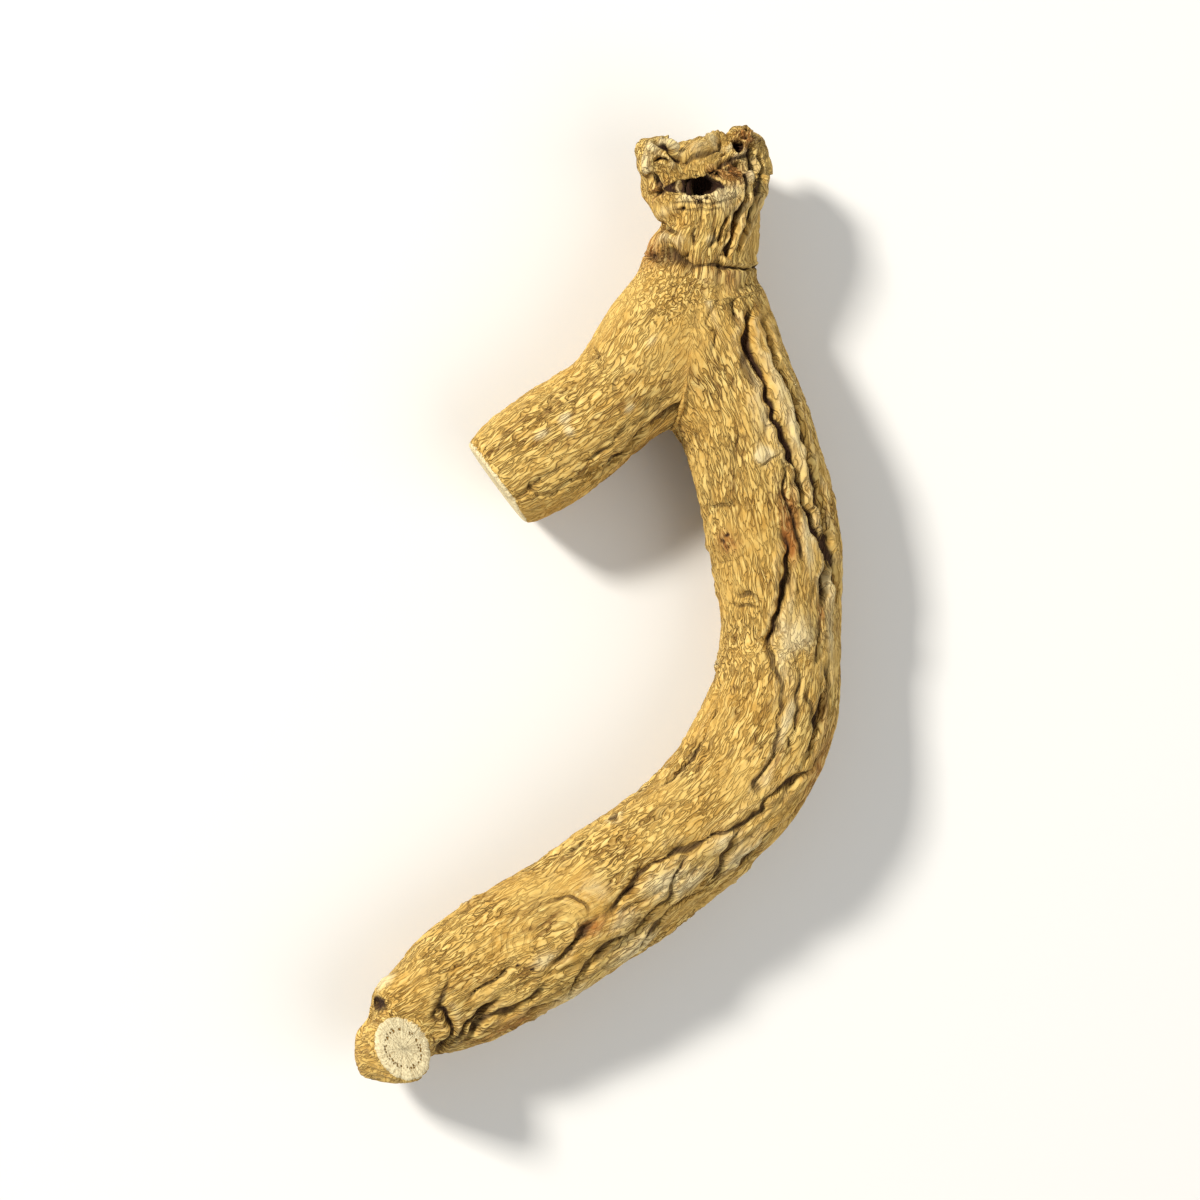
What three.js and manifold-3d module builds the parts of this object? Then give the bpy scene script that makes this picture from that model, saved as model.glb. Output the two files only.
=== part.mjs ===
// A dried ginseng root lying down: a knobbly crown with old stem scars, a narrow ringed neck, a wrinkled main
// root that bends like a C to a cut rootlet at its tip, and a short side leg that was cut straight across.
// Millimetres, +Z up, +Y towards the crown. The root rests at Z = 0 on three small flat spots.
// It grew as one piece, so it is one closed solid.
import * as THREE from "three";
import { mergeVertices } from "three/addons/utils/BufferGeometryUtils.js";
import Module from "manifold-3d";

const wasm = await Module();
wasm.setup();

// Centre line of the main root from the crown to its tip: [x, y, z, half width, half height].
const MAIN_ROOT = [
  [9.8, 42.3, 8.5, 2.9, 4.1],
  [9.3, 40.6, 8.2, 5.6, 5.4],
  [9.5, 38.0, 7.9, 5.6, 5.2],
  [9.6, 35.0, 7.6, 4.7, 4.7],
  [8.9, 32.0, 7.1, 5.2, 5.2],
  [9.0, 28.2, 6.1, 6.1, 6.3],
  [11.1, 22.7, 6.7, 6.2, 6.2],
  [13.4, 16.7, 7.1, 6.3, 6.1],
  [15.0, 10.2, 7.0, 6.3, 6.0],
  [16.5, 2.7, 6.5, 6.2, 6.0],
  [17.3, -4.1, 5.7, 6.1, 5.9],
  [16.5, -9.2, 6.4, 6.2, 5.9],
  [14.3, -13.8, 6.8, 6.2, 6.0],
  [10.4, -18.9, 6.9, 6.3, 6.0],
  [4.7, -24.2, 6.6, 6.4, 6.0],
  [-2.2, -28.8, 6.3, 6.4, 6.0],
  [-9.7, -33.2, 5.8, 6.1, 6.0],
  [-15.3, -36.5, 6.2, 5.3, 5.4],
  [-19.2, -38.3, 6.6, 3.9, 4.3],
];
// Centre line of the side leg, from inside the shoulder to its cut end.
const SIDE_LEG = [
  [7.8, 29.7, 6.9, 4.6, 5.0],
  [5.1, 24.8, 6.9, 5.4, 5.4],
  [1.8, 19.8, 7.0, 5.2, 5.2],
  [-1.3, 17.1, 7.0, 5.2, 5.2],
  [-4.8, 14.7, 6.8, 5.4, 5.2],
  [-7.8, 12.8, 6.6, 5.3, 5.1],
  [-9.7, 11.4, 6.4, 4.9, 4.8],
];
// Centre line of the rootlet that leaves the tip, bends upwards and is cut across.
const ROOTLET = [
  [-15.3, -37.4, 5.5, 3.2, 3.2],
  [-18.6, -39.8, 5.2, 3.3, 3.3],
  [-20.5, -41.2, 6.6, 3.2, 3.2],
  [-20.1, -41.0, 9.0, 2.9, 3.2],
  [-19.5, -40.4, 11.4, 2.7, 3.3],
];
// The box of the whole root is centred on the origin by this step along X and Y.
const HOME = [0.33, -0.27];

// Each limb's angles count from this side of it: the top, or for the upright rootlet one flank.
const UP = new THREE.Vector3(0, 0, 1);
const ROOTLET_FLANK = new THREE.Vector3(0.6, -0.8, 0);

// Mesh of each limb: sides round it, mm from ring to ring, and how far its rounded ends reach.
const MAIN_MESH = { sides: 56, step: 1.7, startCap: 0.5, endCap: 2.6 };
const LEG_MESH = { sides: 44, step: 1.7, startCap: 1.5, endCap: 0.5 };
const ROOTLET_MESH = { sides: 24, step: 1.1, startCap: 1.0, endCap: 0.25 };
const CAP_RINGS = 3;

// Random waves over a limb's skin: how many, their waves round the limb and mm from wave to wave along it.
const SWELLINGS = makeWaves(11, { count: 6, around: [1, 3], along: [16, 44] });
const FOLDS = makeWaves(23, { count: 9, around: [4, 7], along: [26, 80] });
const WRINKLES = makeWaves(37, { count: 12, around: [10, 14], along: [28, 80] });
const KNOBS = makeWaves(41, { count: 9, around: [2, 6], along: [5, 11] });
const SWELLING_RISE = 0.22;
const FOLD_DEPTH = 0.36;
const FOLD_WIDTH = 0.4;
const WRINKLE_DEPTH = 0.22;
const WRINKLE_WIDTH = 0.6;
const KNOB_RISE = 0.28;
const KNOBS_FADE = [9, 13];

// Mean radius of the main root and of the side leg.
const MAIN_RADIUS = 6.1;
const LEG_RADIUS = 5.2;

// The side leg's waves and the rootlet's are shallower, and each limb reads them at its own place and pace.
const LEG_SHARE = 0.6;
const LEG_STARTS = { swellings: 40, folds: 70, wrinkles: 50 };
const ROOTLET_RISE = 0.1;
const ROOTLET_FOLD = 0.3;
const ROOTLET_PACE = { swellings: 2, folds: 3 };

// Furrows that stand out: mm from the crown and degrees round from the top, with depth and half width in mm.
const FURROWS = [
  { depth: 1.2, wide: 0.7, path: [[16.6, 37], [20.5, 14], [25.3, 14], [31.9, 21], [37.1, 31], [40, 42], [44.6, 26]] },
  { depth: 0.9, wide: 0.65, path: [[18, 50], [23.1, 36], [29.6, 38], [35.8, 42], [45, 57]] },
  { depth: 0.95, wide: 0.6, path: [[36.2, -4], [40, -2], [44, -18], [48.4, -25], [53.4, -10], [58.6, 4], [63.5, 14]] },
  { depth: 0.7, wide: 0.6, path: [[49, 37], [53.4, 32], [58.2, 36]] },
  { depth: 0.7, wide: 0.6, path: [[55.5, 56], [59.8, 31], [64.6, 20], [70.4, -3], [73.5, -10], [80.4, 5]] },
  { depth: 0.6, wide: 0.55, path: [[69.6, 0], [74.1, 25], [80, 29], [84.8, 47], [87, 60]] },
  { depth: 0.6, wide: 0.55, path: [[64.4, 19], [70.8, 49], [76.9, 46], [80, 62]] },
  { depth: 0.7, wide: 0.6, path: [[86.6, 30], [91.6, 40], [94.1, 34], [97.4, 58]] },
  { depth: 0.6, wide: 0.55, path: [[60, 62], [64.7, 48], [70.4, 72], [75, 80]] },
  { depth: 0.7, wide: 0.6, path: [[2.7, 22], [6.4, 21], [9.1, 25], [12.7, 29], [18.8, 21]] },
  { depth: 0.7, wide: 0.6, path: [[0.6, 41], [3.8, 36], [6, 39], [7.5, 38], [17.8, 45]] },
  { depth: 0.5, wide: 0.6, path: [[10.8, -100], [10.4, -26], [10.6, -2], [9.9, 40], [10.2, 110]] },
  { depth: 0.45, wide: 0.7, path: [[11.9, 3], [16.5, -11], [20.1, -17], [24.7, -27]] },
  { depth: 0.6, wide: 0.8, path: [[20, 130], [34, 150], [47, 128], [60, 141], [75, 122]] },
  { depth: 0.6, wide: 0.8, path: [[28, -128], [41, -104], [52, -122], [66, -98], [83, -118]] },
  { depth: 0.7, wide: 0.6, path: [[24, 78], [33, 88], [41, 76], [50, 92], [58, 84]] },
];
const LEG_FURROWS = [
  { depth: 0.5, wide: 0.6, path: [[6.6, 30], [9, 49], [10.7, 85]] },
  { depth: 0.45, wide: 0.6, path: [[5.8, -67], [14.1, -50], [22.2, -35]] },
  { depth: 0.45, wide: 0.6, path: [[2.8, -33], [11.6, -23], [18.4, -8], [24.6, -5]] },
  { depth: 0.45, wide: 0.6, path: [[7.9, 8], [14.2, 19], [18.8, 29]] },
  { depth: 0.5, wide: 0.7, path: [[4, 150], [13, 168], [24, 146]] },
];
// Where a furrow's ends run out, it grows shallow over this length, in mm.
const FURROW_RUNOUT = 3;

// Bulges of the main root: the same coordinates, how high, and how far they reach along and round.
const BULGES = [
  { at: [46.6, 0], rise: 0.4, reach: [3.0, 2.2] },
  { at: [29.9, -4], rise: 0.4, reach: [1.0, 1.2] },
  { at: [73.6, 8], rise: 0.5, reach: [2.6, 1.5] },
  { at: [71.6, 26], rise: 0.5, reach: [2.4, 1.5] },
  { at: [66.8, 42], rise: 0.4, reach: [2.6, 1.5] },
  { at: [79.0, 50], rise: 0.5, reach: [3.0, 1.6] },
  { at: [85.0, -4], rise: 0.3, reach: [3.2, 2.4] },
  { at: [100.9, -72], rise: 0.6, reach: [1.2, 1.2] },
  { at: [55.0, -135], rise: 0.5, reach: [3.2, 2.2] },
  { at: [68.0, 112], rise: 0.45, reach: [2.6, 2.0] },
  { at: [38.0, 118], rise: 0.45, reach: [2.8, 1.6] },
  { at: [88.0, 150], rise: 0.4, reach: [2.4, 2.0] },
];

// The crown's knobs: centre and half sizes.
const CROWN_KNOBS = [
  { at: [4.8, 41.0, 9.3], half: [2.1, 2.1, 3.2] },
  { at: [12.6, 41.6, 8.8], half: [2.4, 3.3, 3.5] },
  { at: [9.8, 40.6, 11.0], half: [3.4, 2.2, 1.7] },
  { at: [10.6, 42.6, 9.7], half: [2.4, 1.5, 1.9] },
  { at: [9.8, 41.3, 4.9], half: [4.0, 2.2, 2.4] },
];
const KNOB_LUMP = 0.06;

// Hollows left by old stems, cut into the crown, and a pit beside the rootlet: centre and half sizes.
const HOLLOWS = [
  { at: [6.4, 38.1, 13.3], half: [1.8, 0.6, 3.0] },
  { at: [8.0, 38.2, 13.3], half: [1.9, 0.6, 3.4] },
  { at: [9.4, 44.3, 7.6], half: [2.4, 1.5, 1.9] },
  { at: [6.3, 43.3, 11.2], half: [0.8, 1.3, 3.0] },
  { at: [11.5, 42.3, 13.0], half: [0.4, 0.7, 1.7] },
  { at: [4.0, 35.6, 7.6], half: [1.0, 0.7, 1.0] },
  { at: [-21.9, -37.2, 9.0], half: [0.5, 0.7, 2.2] },
];

// The underside's three resting places, as mm from the crown, where the skin is pressed smooth.
const REST_SPOTS = [15, 48.4, 87.4];
const PRESSED_REACH = [5, 3.2];

const SKIN = new THREE.MeshStandardMaterial({ color: 0xd8b066, roughness: 0.8, metalness: 0 });

// Repeatable random numbers from 0 to 1.
function seededDraw(seed) {
  let state = seed;
  return () => {
    state = (state + 0x6d2b79f5) | 0;
    let mixed = Math.imul(state ^ (state >>> 15), 1 | state);
    mixed = (mixed + Math.imul(mixed ^ (mixed >>> 7), 61 | mixed)) ^ mixed;
    return ((mixed ^ (mixed >>> 14)) >>> 0) / 2 ** 32;
  };
}

function makeWaves(seed, { count, around, along }) {
  const draw = seededDraw(seed);
  return Array.from({ length: count }, () => {
    const turns = around[0] + Math.floor(draw() * (around[1] - around[0] + 1));
    const pitch = along[0] + draw() * (along[1] - along[0]);
    const lean = draw() < 0.5 ? -1 : 1;
    return { turns, pitch: lean * pitch, start: draw() * 2 * Math.PI };
  });
}

// The sum of the waves, scaled so that it mostly stays between -1.5 and 1.5.
function waveSum(waves, along, angle) {
  const total = waves.reduce(
    (sum, { turns, pitch, start }) => sum + Math.cos(turns * angle + (2 * Math.PI * along) / pitch + start),
    0,
  );
  return total / Math.sqrt(waves.length / 2);
}

// 1 where the value is 0, falling to 0 on both sides of it.
function dip(value, wide) {
  return Math.exp(-((value / wide) ** 2));
}

function smoothStep(value, from, to) {
  const part = THREE.MathUtils.clamp((value - from) / (to - from), 0, 1);
  return part * part * (3 - 2 * part);
}

// A limb's centre line, measured in mm from its first station, with its girth and its own directions.
function makeLimb(stations, reference) {
  const path = smoothThrough(stations.map(([x, y, z]) => [x, y, z]));
  const girth = smoothThrough(stations.map(([, , , wide, tall]) => [wide, tall, 0]));
  path.arcLengthDivisions = 24 * (stations.length - 1);
  const at = (along) => {
    const t = path.getUtoTmapping(0, along);
    const forward = path.getTangent(t);
    const top = reference.clone().addScaledVector(forward, -reference.dot(forward)).normalize();
    const flank = new THREE.Vector3().crossVectors(top, forward);
    const size = girth.getPoint(t);
    return { centre: path.getPoint(t), forward, top, flank, wide: size.x, tall: size.y };
  };
  return { length: path.getLength(), at };
}

function smoothThrough(points) {
  return new THREE.CatmullRomCurve3(points.map((point) => new THREE.Vector3(...point)), false, "catmullrom", 0.5);
}

// The closed skin of a limb: rings of points round the centre line, drawn in to a point past each end.
function limbSkin(limb, { sides, step, startCap, endCap }, relief) {
  const rings = [];
  for (let k = CAP_RINGS - 1; k >= 1; k -= 1) rings.push(capRing(0, -startCap, k));
  const count = Math.round(limb.length / step);
  for (let i = 0; i <= count; i += 1) rings.push({ along: limb.length * (i / count), push: 0, shrink: 1 });
  for (let k = 1; k < CAP_RINGS; k += 1) rings.push(capRing(limb.length, endCap, k));
  const points = [];
  const first = limb.at(0);
  points.push(first.centre.clone().addScaledVector(first.forward, -startCap));
  rings.forEach(({ along, push, shrink }) => {
    const place = limb.at(along);
    const middle = place.centre.clone().addScaledVector(place.forward, push);
    for (let j = 0; j < sides; j += 1) {
      const angle = (2 * Math.PI * j) / sides;
      const raised = relief(along + push, angle);
      points.push(
        middle
          .clone()
          .addScaledVector(place.top, Math.cos(angle) * (place.tall + raised) * shrink)
          .addScaledVector(place.flank, Math.sin(angle) * (place.wide + raised) * shrink),
      );
    }
  });
  const last = limb.at(limb.length);
  points.push(last.centre.clone().addScaledVector(last.forward, endCap));
  return closedGeometry(points, rings.length, sides);
}

// One ring of a rounded end: pushed out along the limb and drawn in, as on a quarter of an ellipse.
function capRing(along, reach, k) {
  const turn = (k / CAP_RINGS) * (Math.PI / 2);
  return { along, push: reach * Math.sin(turn), shrink: Math.cos(turn) };
}

// Triangles over a first pole, rings of points and a last pole, facing out.
function closedGeometry(points, rings, sides) {
  const index = [];
  const pole = points.length - 1;
  const vertex = (ring, side) => 1 + ring * sides + (side % sides);
  for (let j = 0; j < sides; j += 1) {
    index.push(0, vertex(0, j), vertex(0, j + 1));
    for (let i = 0; i < rings - 1; i += 1) {
      index.push(vertex(i, j), vertex(i + 1, j + 1), vertex(i, j + 1));
      index.push(vertex(i, j), vertex(i + 1, j), vertex(i + 1, j + 1));
    }
    index.push(vertex(rings - 1, j), pole, vertex(rings - 1, j + 1));
  }
  return new THREE.BufferGeometry().setFromPoints(points).setIndex(index);
}

// Depth of one furrow at a place on the skin, from its distance to the furrow's path laid out flat.
function furrowDepth({ depth, wide, path }, along, angle, radius) {
  const degree = THREE.MathUtils.degToRad(1) * radius;
  const spot = new THREE.Vector2(along, THREE.MathUtils.radToDeg(angle) * degree);
  let nearest = Infinity;
  let run = 0;
  let travelled = 0;
  const flat = path.map(([mm, turn]) => new THREE.Vector2(mm, turn * degree));
  for (let i = 0; i < flat.length - 1; i += 1) {
    const leg = flat[i + 1].clone().sub(flat[i]);
    const part = THREE.MathUtils.clamp(spot.clone().sub(flat[i]).dot(leg) / leg.lengthSq(), 0, 1);
    const apart = flat[i].clone().addScaledVector(leg, part).distanceTo(spot);
    if (apart < nearest) {
      nearest = apart;
      run = travelled + part * leg.length();
    }
    travelled += leg.length();
  }
  const ends = smoothStep(run, 0, FURROW_RUNOUT) * smoothStep(travelled - run, 0, FURROW_RUNOUT);
  return depth * ends * dip(nearest, wide);
}

function bulgeRise({ at, rise, reach }, along, angle, radius) {
  const round = THREE.MathUtils.radToDeg(angle) - at[1];
  return rise * dip(along - at[0], reach[0]) * dip(THREE.MathUtils.degToRad(round) * radius, reach[1]);
}

// Angles from -180 to 180 degrees, so that paths on both flanks are met.
function signedAngle(angle) {
  return angle > Math.PI ? angle - 2 * Math.PI : angle;
}

// How far the main root's skin stands out or in.
function mainRelief(along, angle) {
  const turn = signedAngle(angle);
  const underside = MAIN_RADIUS * (Math.PI - Math.abs(turn));
  const knobby = 1 - smoothStep(along, ...KNOBS_FADE);
  const pressed = Math.max(
    ...REST_SPOTS.map((spot) => dip(along - spot, PRESSED_REACH[0]) * dip(underside, PRESSED_REACH[1])),
  );
  let raised = SWELLING_RISE * waveSum(SWELLINGS, along, angle);
  raised -= FOLD_DEPTH * (1 - knobby) * dip(waveSum(FOLDS, along, angle), FOLD_WIDTH);
  raised -= WRINKLE_DEPTH * dip(waveSum(WRINKLES, along, angle), WRINKLE_WIDTH);
  raised += KNOB_RISE * knobby * waveSum(KNOBS, along, angle);
  FURROWS.forEach((furrow) => {
    raised -= furrowDepth(furrow, along, turn, MAIN_RADIUS);
  });
  BULGES.forEach((bulge) => {
    raised += bulgeRise(bulge, along, turn, MAIN_RADIUS);
  });
  return raised * (1 - pressed);
}

function legRelief(along, angle) {
  const turn = signedAngle(angle);
  let raised = LEG_SHARE * SWELLING_RISE * waveSum(SWELLINGS, along + LEG_STARTS.swellings, angle);
  raised -= LEG_SHARE * FOLD_DEPTH * dip(waveSum(FOLDS, along + LEG_STARTS.folds, angle), FOLD_WIDTH);
  raised -= WRINKLE_DEPTH * dip(waveSum(WRINKLES, along + LEG_STARTS.wrinkles, angle), WRINKLE_WIDTH);
  LEG_FURROWS.forEach((furrow) => {
    raised -= furrowDepth(furrow, along, turn, LEG_RADIUS);
  });
  return raised;
}

function rootletRelief(along, angle) {
  const swelling = waveSum(SWELLINGS, ROOTLET_PACE.swellings * along, angle);
  const fold = dip(waveSum(FOLDS, ROOTLET_PACE.folds * along, angle), FOLD_WIDTH);
  return ROOTLET_RISE * swelling - ROOTLET_FOLD * fold;
}

// A lumpy ellipsoid, for a knob of the crown or for what a hollow takes away.
function lump({ at, half }, lumpiness) {
  const ball = new THREE.SphereGeometry(1, 14, 9);
  const spots = ball.getAttribute("position");
  for (let i = 0; i < spots.count; i += 1) {
    const spot = new THREE.Vector3().fromBufferAttribute(spots, i);
    const swell = Math.cos(7 * spot.x + at[0]) + Math.cos(6 * spot.y + at[1]) + Math.cos(8 * spot.z + at[2]);
    spot.multiplyScalar(1 + lumpiness * swell);
    spots.setXYZ(i, spot.x, spot.y, spot.z);
  }
  return ball.scale(...half).translate(...at);
}

// A closed geometry as a solid that can be joined and cut.
function solid(geometry) {
  const bare = geometry.clone();
  bare.deleteAttribute("normal");
  bare.deleteAttribute("uv");
  const merged = mergeVertices(bare);
  return new wasm.Manifold(
    new wasm.Mesh({
      numProp: 3,
      vertProperties: merged.attributes.position.array,
      triVerts: new Uint32Array(merged.index.array),
    }),
  );
}

function geometryOf(body) {
  const { vertProperties, triVerts } = body.getMesh();
  const geometry = new THREE.BufferGeometry();
  geometry.setAttribute("position", new THREE.BufferAttribute(vertProperties, 3));
  geometry.setIndex(new THREE.BufferAttribute(triVerts, 1));
  geometry.computeVertexNormals();
  return geometry;
}

// Everything above the surface that the root lies on.
function spaceAboveGround() {
  const reach = 200;
  return solid(new THREE.BoxGeometry(reach, reach, reach).translate(0, 0, reach / 2));
}

function makeRoot() {
  let root = solid(limbSkin(makeLimb(MAIN_ROOT, UP), MAIN_MESH, mainRelief));
  root = root.add(solid(limbSkin(makeLimb(SIDE_LEG, UP), LEG_MESH, legRelief)));
  root = root.add(solid(limbSkin(makeLimb(ROOTLET, ROOTLET_FLANK), ROOTLET_MESH, rootletRelief)));
  CROWN_KNOBS.forEach((knob) => {
    root = root.add(solid(lump(knob, KNOB_LUMP)));
  });
  HOLLOWS.forEach((hollow) => {
    root = root.subtract(solid(lump(hollow, KNOB_LUMP)));
  });
  return root.intersect(spaceAboveGround());
}

const ginsengRoot = new THREE.Mesh(geometryOf(makeRoot()), SKIN);
ginsengRoot.name = "ginseng_root";
ginsengRoot.position.set(HOME[0], HOME[1], 0);

const part = new THREE.Group();
part.add(ginsengRoot);

export default part;
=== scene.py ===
import math
from collections import namedtuple

import bmesh
import bpy
import numpy as np
from bpy.props import FloatProperty, FloatVectorProperty, PointerProperty
from mathutils import Matrix, Vector


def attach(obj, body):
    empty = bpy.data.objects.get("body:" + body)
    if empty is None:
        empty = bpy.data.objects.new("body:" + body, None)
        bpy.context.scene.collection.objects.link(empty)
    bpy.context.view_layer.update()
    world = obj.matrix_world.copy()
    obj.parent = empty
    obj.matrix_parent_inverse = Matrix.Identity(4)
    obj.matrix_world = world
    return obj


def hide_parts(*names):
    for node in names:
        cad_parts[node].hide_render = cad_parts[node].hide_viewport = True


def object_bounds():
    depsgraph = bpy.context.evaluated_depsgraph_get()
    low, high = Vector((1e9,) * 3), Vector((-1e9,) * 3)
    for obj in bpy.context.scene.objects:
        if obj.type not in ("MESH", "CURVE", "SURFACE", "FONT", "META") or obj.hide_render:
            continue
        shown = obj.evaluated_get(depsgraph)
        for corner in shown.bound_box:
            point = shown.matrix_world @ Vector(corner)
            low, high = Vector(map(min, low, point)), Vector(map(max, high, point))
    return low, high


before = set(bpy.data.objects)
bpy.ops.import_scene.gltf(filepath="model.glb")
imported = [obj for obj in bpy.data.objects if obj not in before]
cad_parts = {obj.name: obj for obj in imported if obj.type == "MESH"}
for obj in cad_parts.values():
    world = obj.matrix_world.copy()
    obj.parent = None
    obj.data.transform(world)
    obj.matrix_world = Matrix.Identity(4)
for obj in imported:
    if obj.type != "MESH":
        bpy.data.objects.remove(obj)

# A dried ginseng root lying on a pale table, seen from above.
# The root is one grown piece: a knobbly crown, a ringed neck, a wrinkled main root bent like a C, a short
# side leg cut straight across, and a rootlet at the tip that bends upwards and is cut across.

bl_info = {
    "name": "Dried Ginseng Root",
    "version": (1, 0, 0),
    "blender": (4, 5, 0),
    "location": "3D View > Sidebar > Ginseng",
    "description": "Makes a dried, forked ginseng root with its furrows, wrinkles, scars and cut ends",
    "category": "Add Mesh",
}

CAD_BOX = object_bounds()
MM = 0.001

# Centre line of the main root from the crown to its tip: x, y, z, half width, half height, in mm.
MAIN_ROOT = (
    (9.8, 42.3, 8.5, 2.9, 4.1),
    (9.3, 40.6, 8.2, 5.6, 5.4),
    (9.5, 38.0, 7.9, 5.6, 5.2),
    (9.6, 35.0, 7.6, 4.7, 4.7),
    (8.9, 32.0, 7.1, 5.2, 5.2),
    (9.0, 28.2, 6.1, 6.1, 6.3),
    (11.1, 22.7, 6.7, 6.2, 6.2),
    (13.4, 16.7, 7.1, 6.3, 6.1),
    (15.0, 10.2, 7.0, 6.3, 6.0),
    (16.5, 2.7, 6.5, 6.2, 6.0),
    (17.3, -4.1, 5.7, 6.1, 5.9),
    (16.5, -9.2, 6.4, 6.2, 5.9),
    (14.3, -13.8, 6.8, 6.2, 6.0),
    (10.4, -18.9, 6.9, 6.3, 6.0),
    (4.7, -24.2, 6.6, 6.4, 6.0),
    (-2.2, -28.8, 6.3, 6.4, 6.0),
    (-9.7, -33.2, 5.8, 6.1, 6.0),
    (-15.3, -36.5, 6.2, 5.3, 5.4),
    (-19.2, -38.3, 6.6, 3.9, 4.3),
)
# Centre line of the side leg, from inside the shoulder to its cut end.
SIDE_LEG = (
    (7.8, 29.7, 6.9, 4.6, 5.0),
    (5.1, 24.8, 6.9, 5.4, 5.4),
    (1.8, 19.8, 7.0, 5.2, 5.2),
    (-1.3, 17.1, 7.0, 5.2, 5.2),
    (-4.8, 14.7, 6.8, 5.4, 5.2),
    (-7.8, 12.8, 6.6, 5.3, 5.1),
    (-9.7, 11.4, 6.4, 4.9, 4.8),
)
# Centre line of the rootlet that leaves the tip, bends upwards and is cut across.
ROOTLET = (
    (-15.3, -37.4, 5.5, 3.2, 3.2),
    (-18.6, -39.8, 5.2, 3.3, 3.3),
    (-20.5, -41.2, 6.6, 3.2, 3.2),
    (-20.1, -41.0, 9.0, 2.9, 3.2),
    (-19.5, -40.4, 11.4, 2.7, 3.3),
)
# The step along X and Y that centres the root's box on the origin, as in the frame.
HOME = (0.33, -0.27)
# The skin is pressed in where it would stand out of the CAD part's box: over the last mm, and by a hair at
# least.
BOX_EDGE = 1.0
BOX_HAIR = 0.02
# Each limb's angles count from this side of it: the top, or for the upright rootlet one flank.
UP = (0.0, 0.0, 1.0)
ROOTLET_FLANK = (0.6, -0.8, 0.0)
# Mean radius of the main root, the side leg and the rootlet, in mm.
RADII = (6.1, 5.2, 3.1)

# Random waves over a limb's skin: seed, how many, waves round the limb, and mm from wave to wave along it.
# First the broad ones that swell and fold it, then its wrinkles, the crown's knobs and the crinkles between
# the wrinkles, then those that make wrinkles sway and lean, and last those that make them strong or broken.
SWELLINGS = (11, 6, (1, 3), (16, 44))
FOLDS = (23, 9, (4, 7), (26, 80))
WRINKLES = (37, 12, (10, 14), (28, 80))
KNOBS = (41, 9, (2, 6), (5, 11))
CRINKLES = (53, 22, (18, 28), (2.5, 7))
SWAYS = (61, 12, (1, 6), (3, 9))
LEANS = (67, 8, (1, 3), (12, 30))
PATCHES = (71, 9, (1, 5), (6, 24))
BREAKS = (83, 12, (2, 7), (5, 16))
# How far wrinkles sway and lean round the limb, and sway along it, in mm, and how wide a soft fold is, in
# its pattern's own units.
SWAY_ROUND = 0.22
LEAN_ROUND = 0.5
SWAY_ALONG = 0.5
FOLD_WIDTH = 0.34
# How wide the pressed-in lines of wrinkles and crinkles are, in their patterns' own units.
WRINKLE_WIDTH = 0.35
CRINKLE_WIDTH = 0.8
# Random waves through space over the crown: seed, how many, and mm from wave to wave.
CRUMPLES = (91, 18, (2.4, 5.0))
CREPES = (97, 24, (1.3, 2.6))
# Random waves through space that make furrows wider and narrower, and their paths sway.
FURROW_SWELLS = (101, 20, (1.6, 5.0))
FURROW_SWAYS = ((103, 20, (1.2, 3.5)), (107, 20, (1.2, 3.5)))

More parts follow.
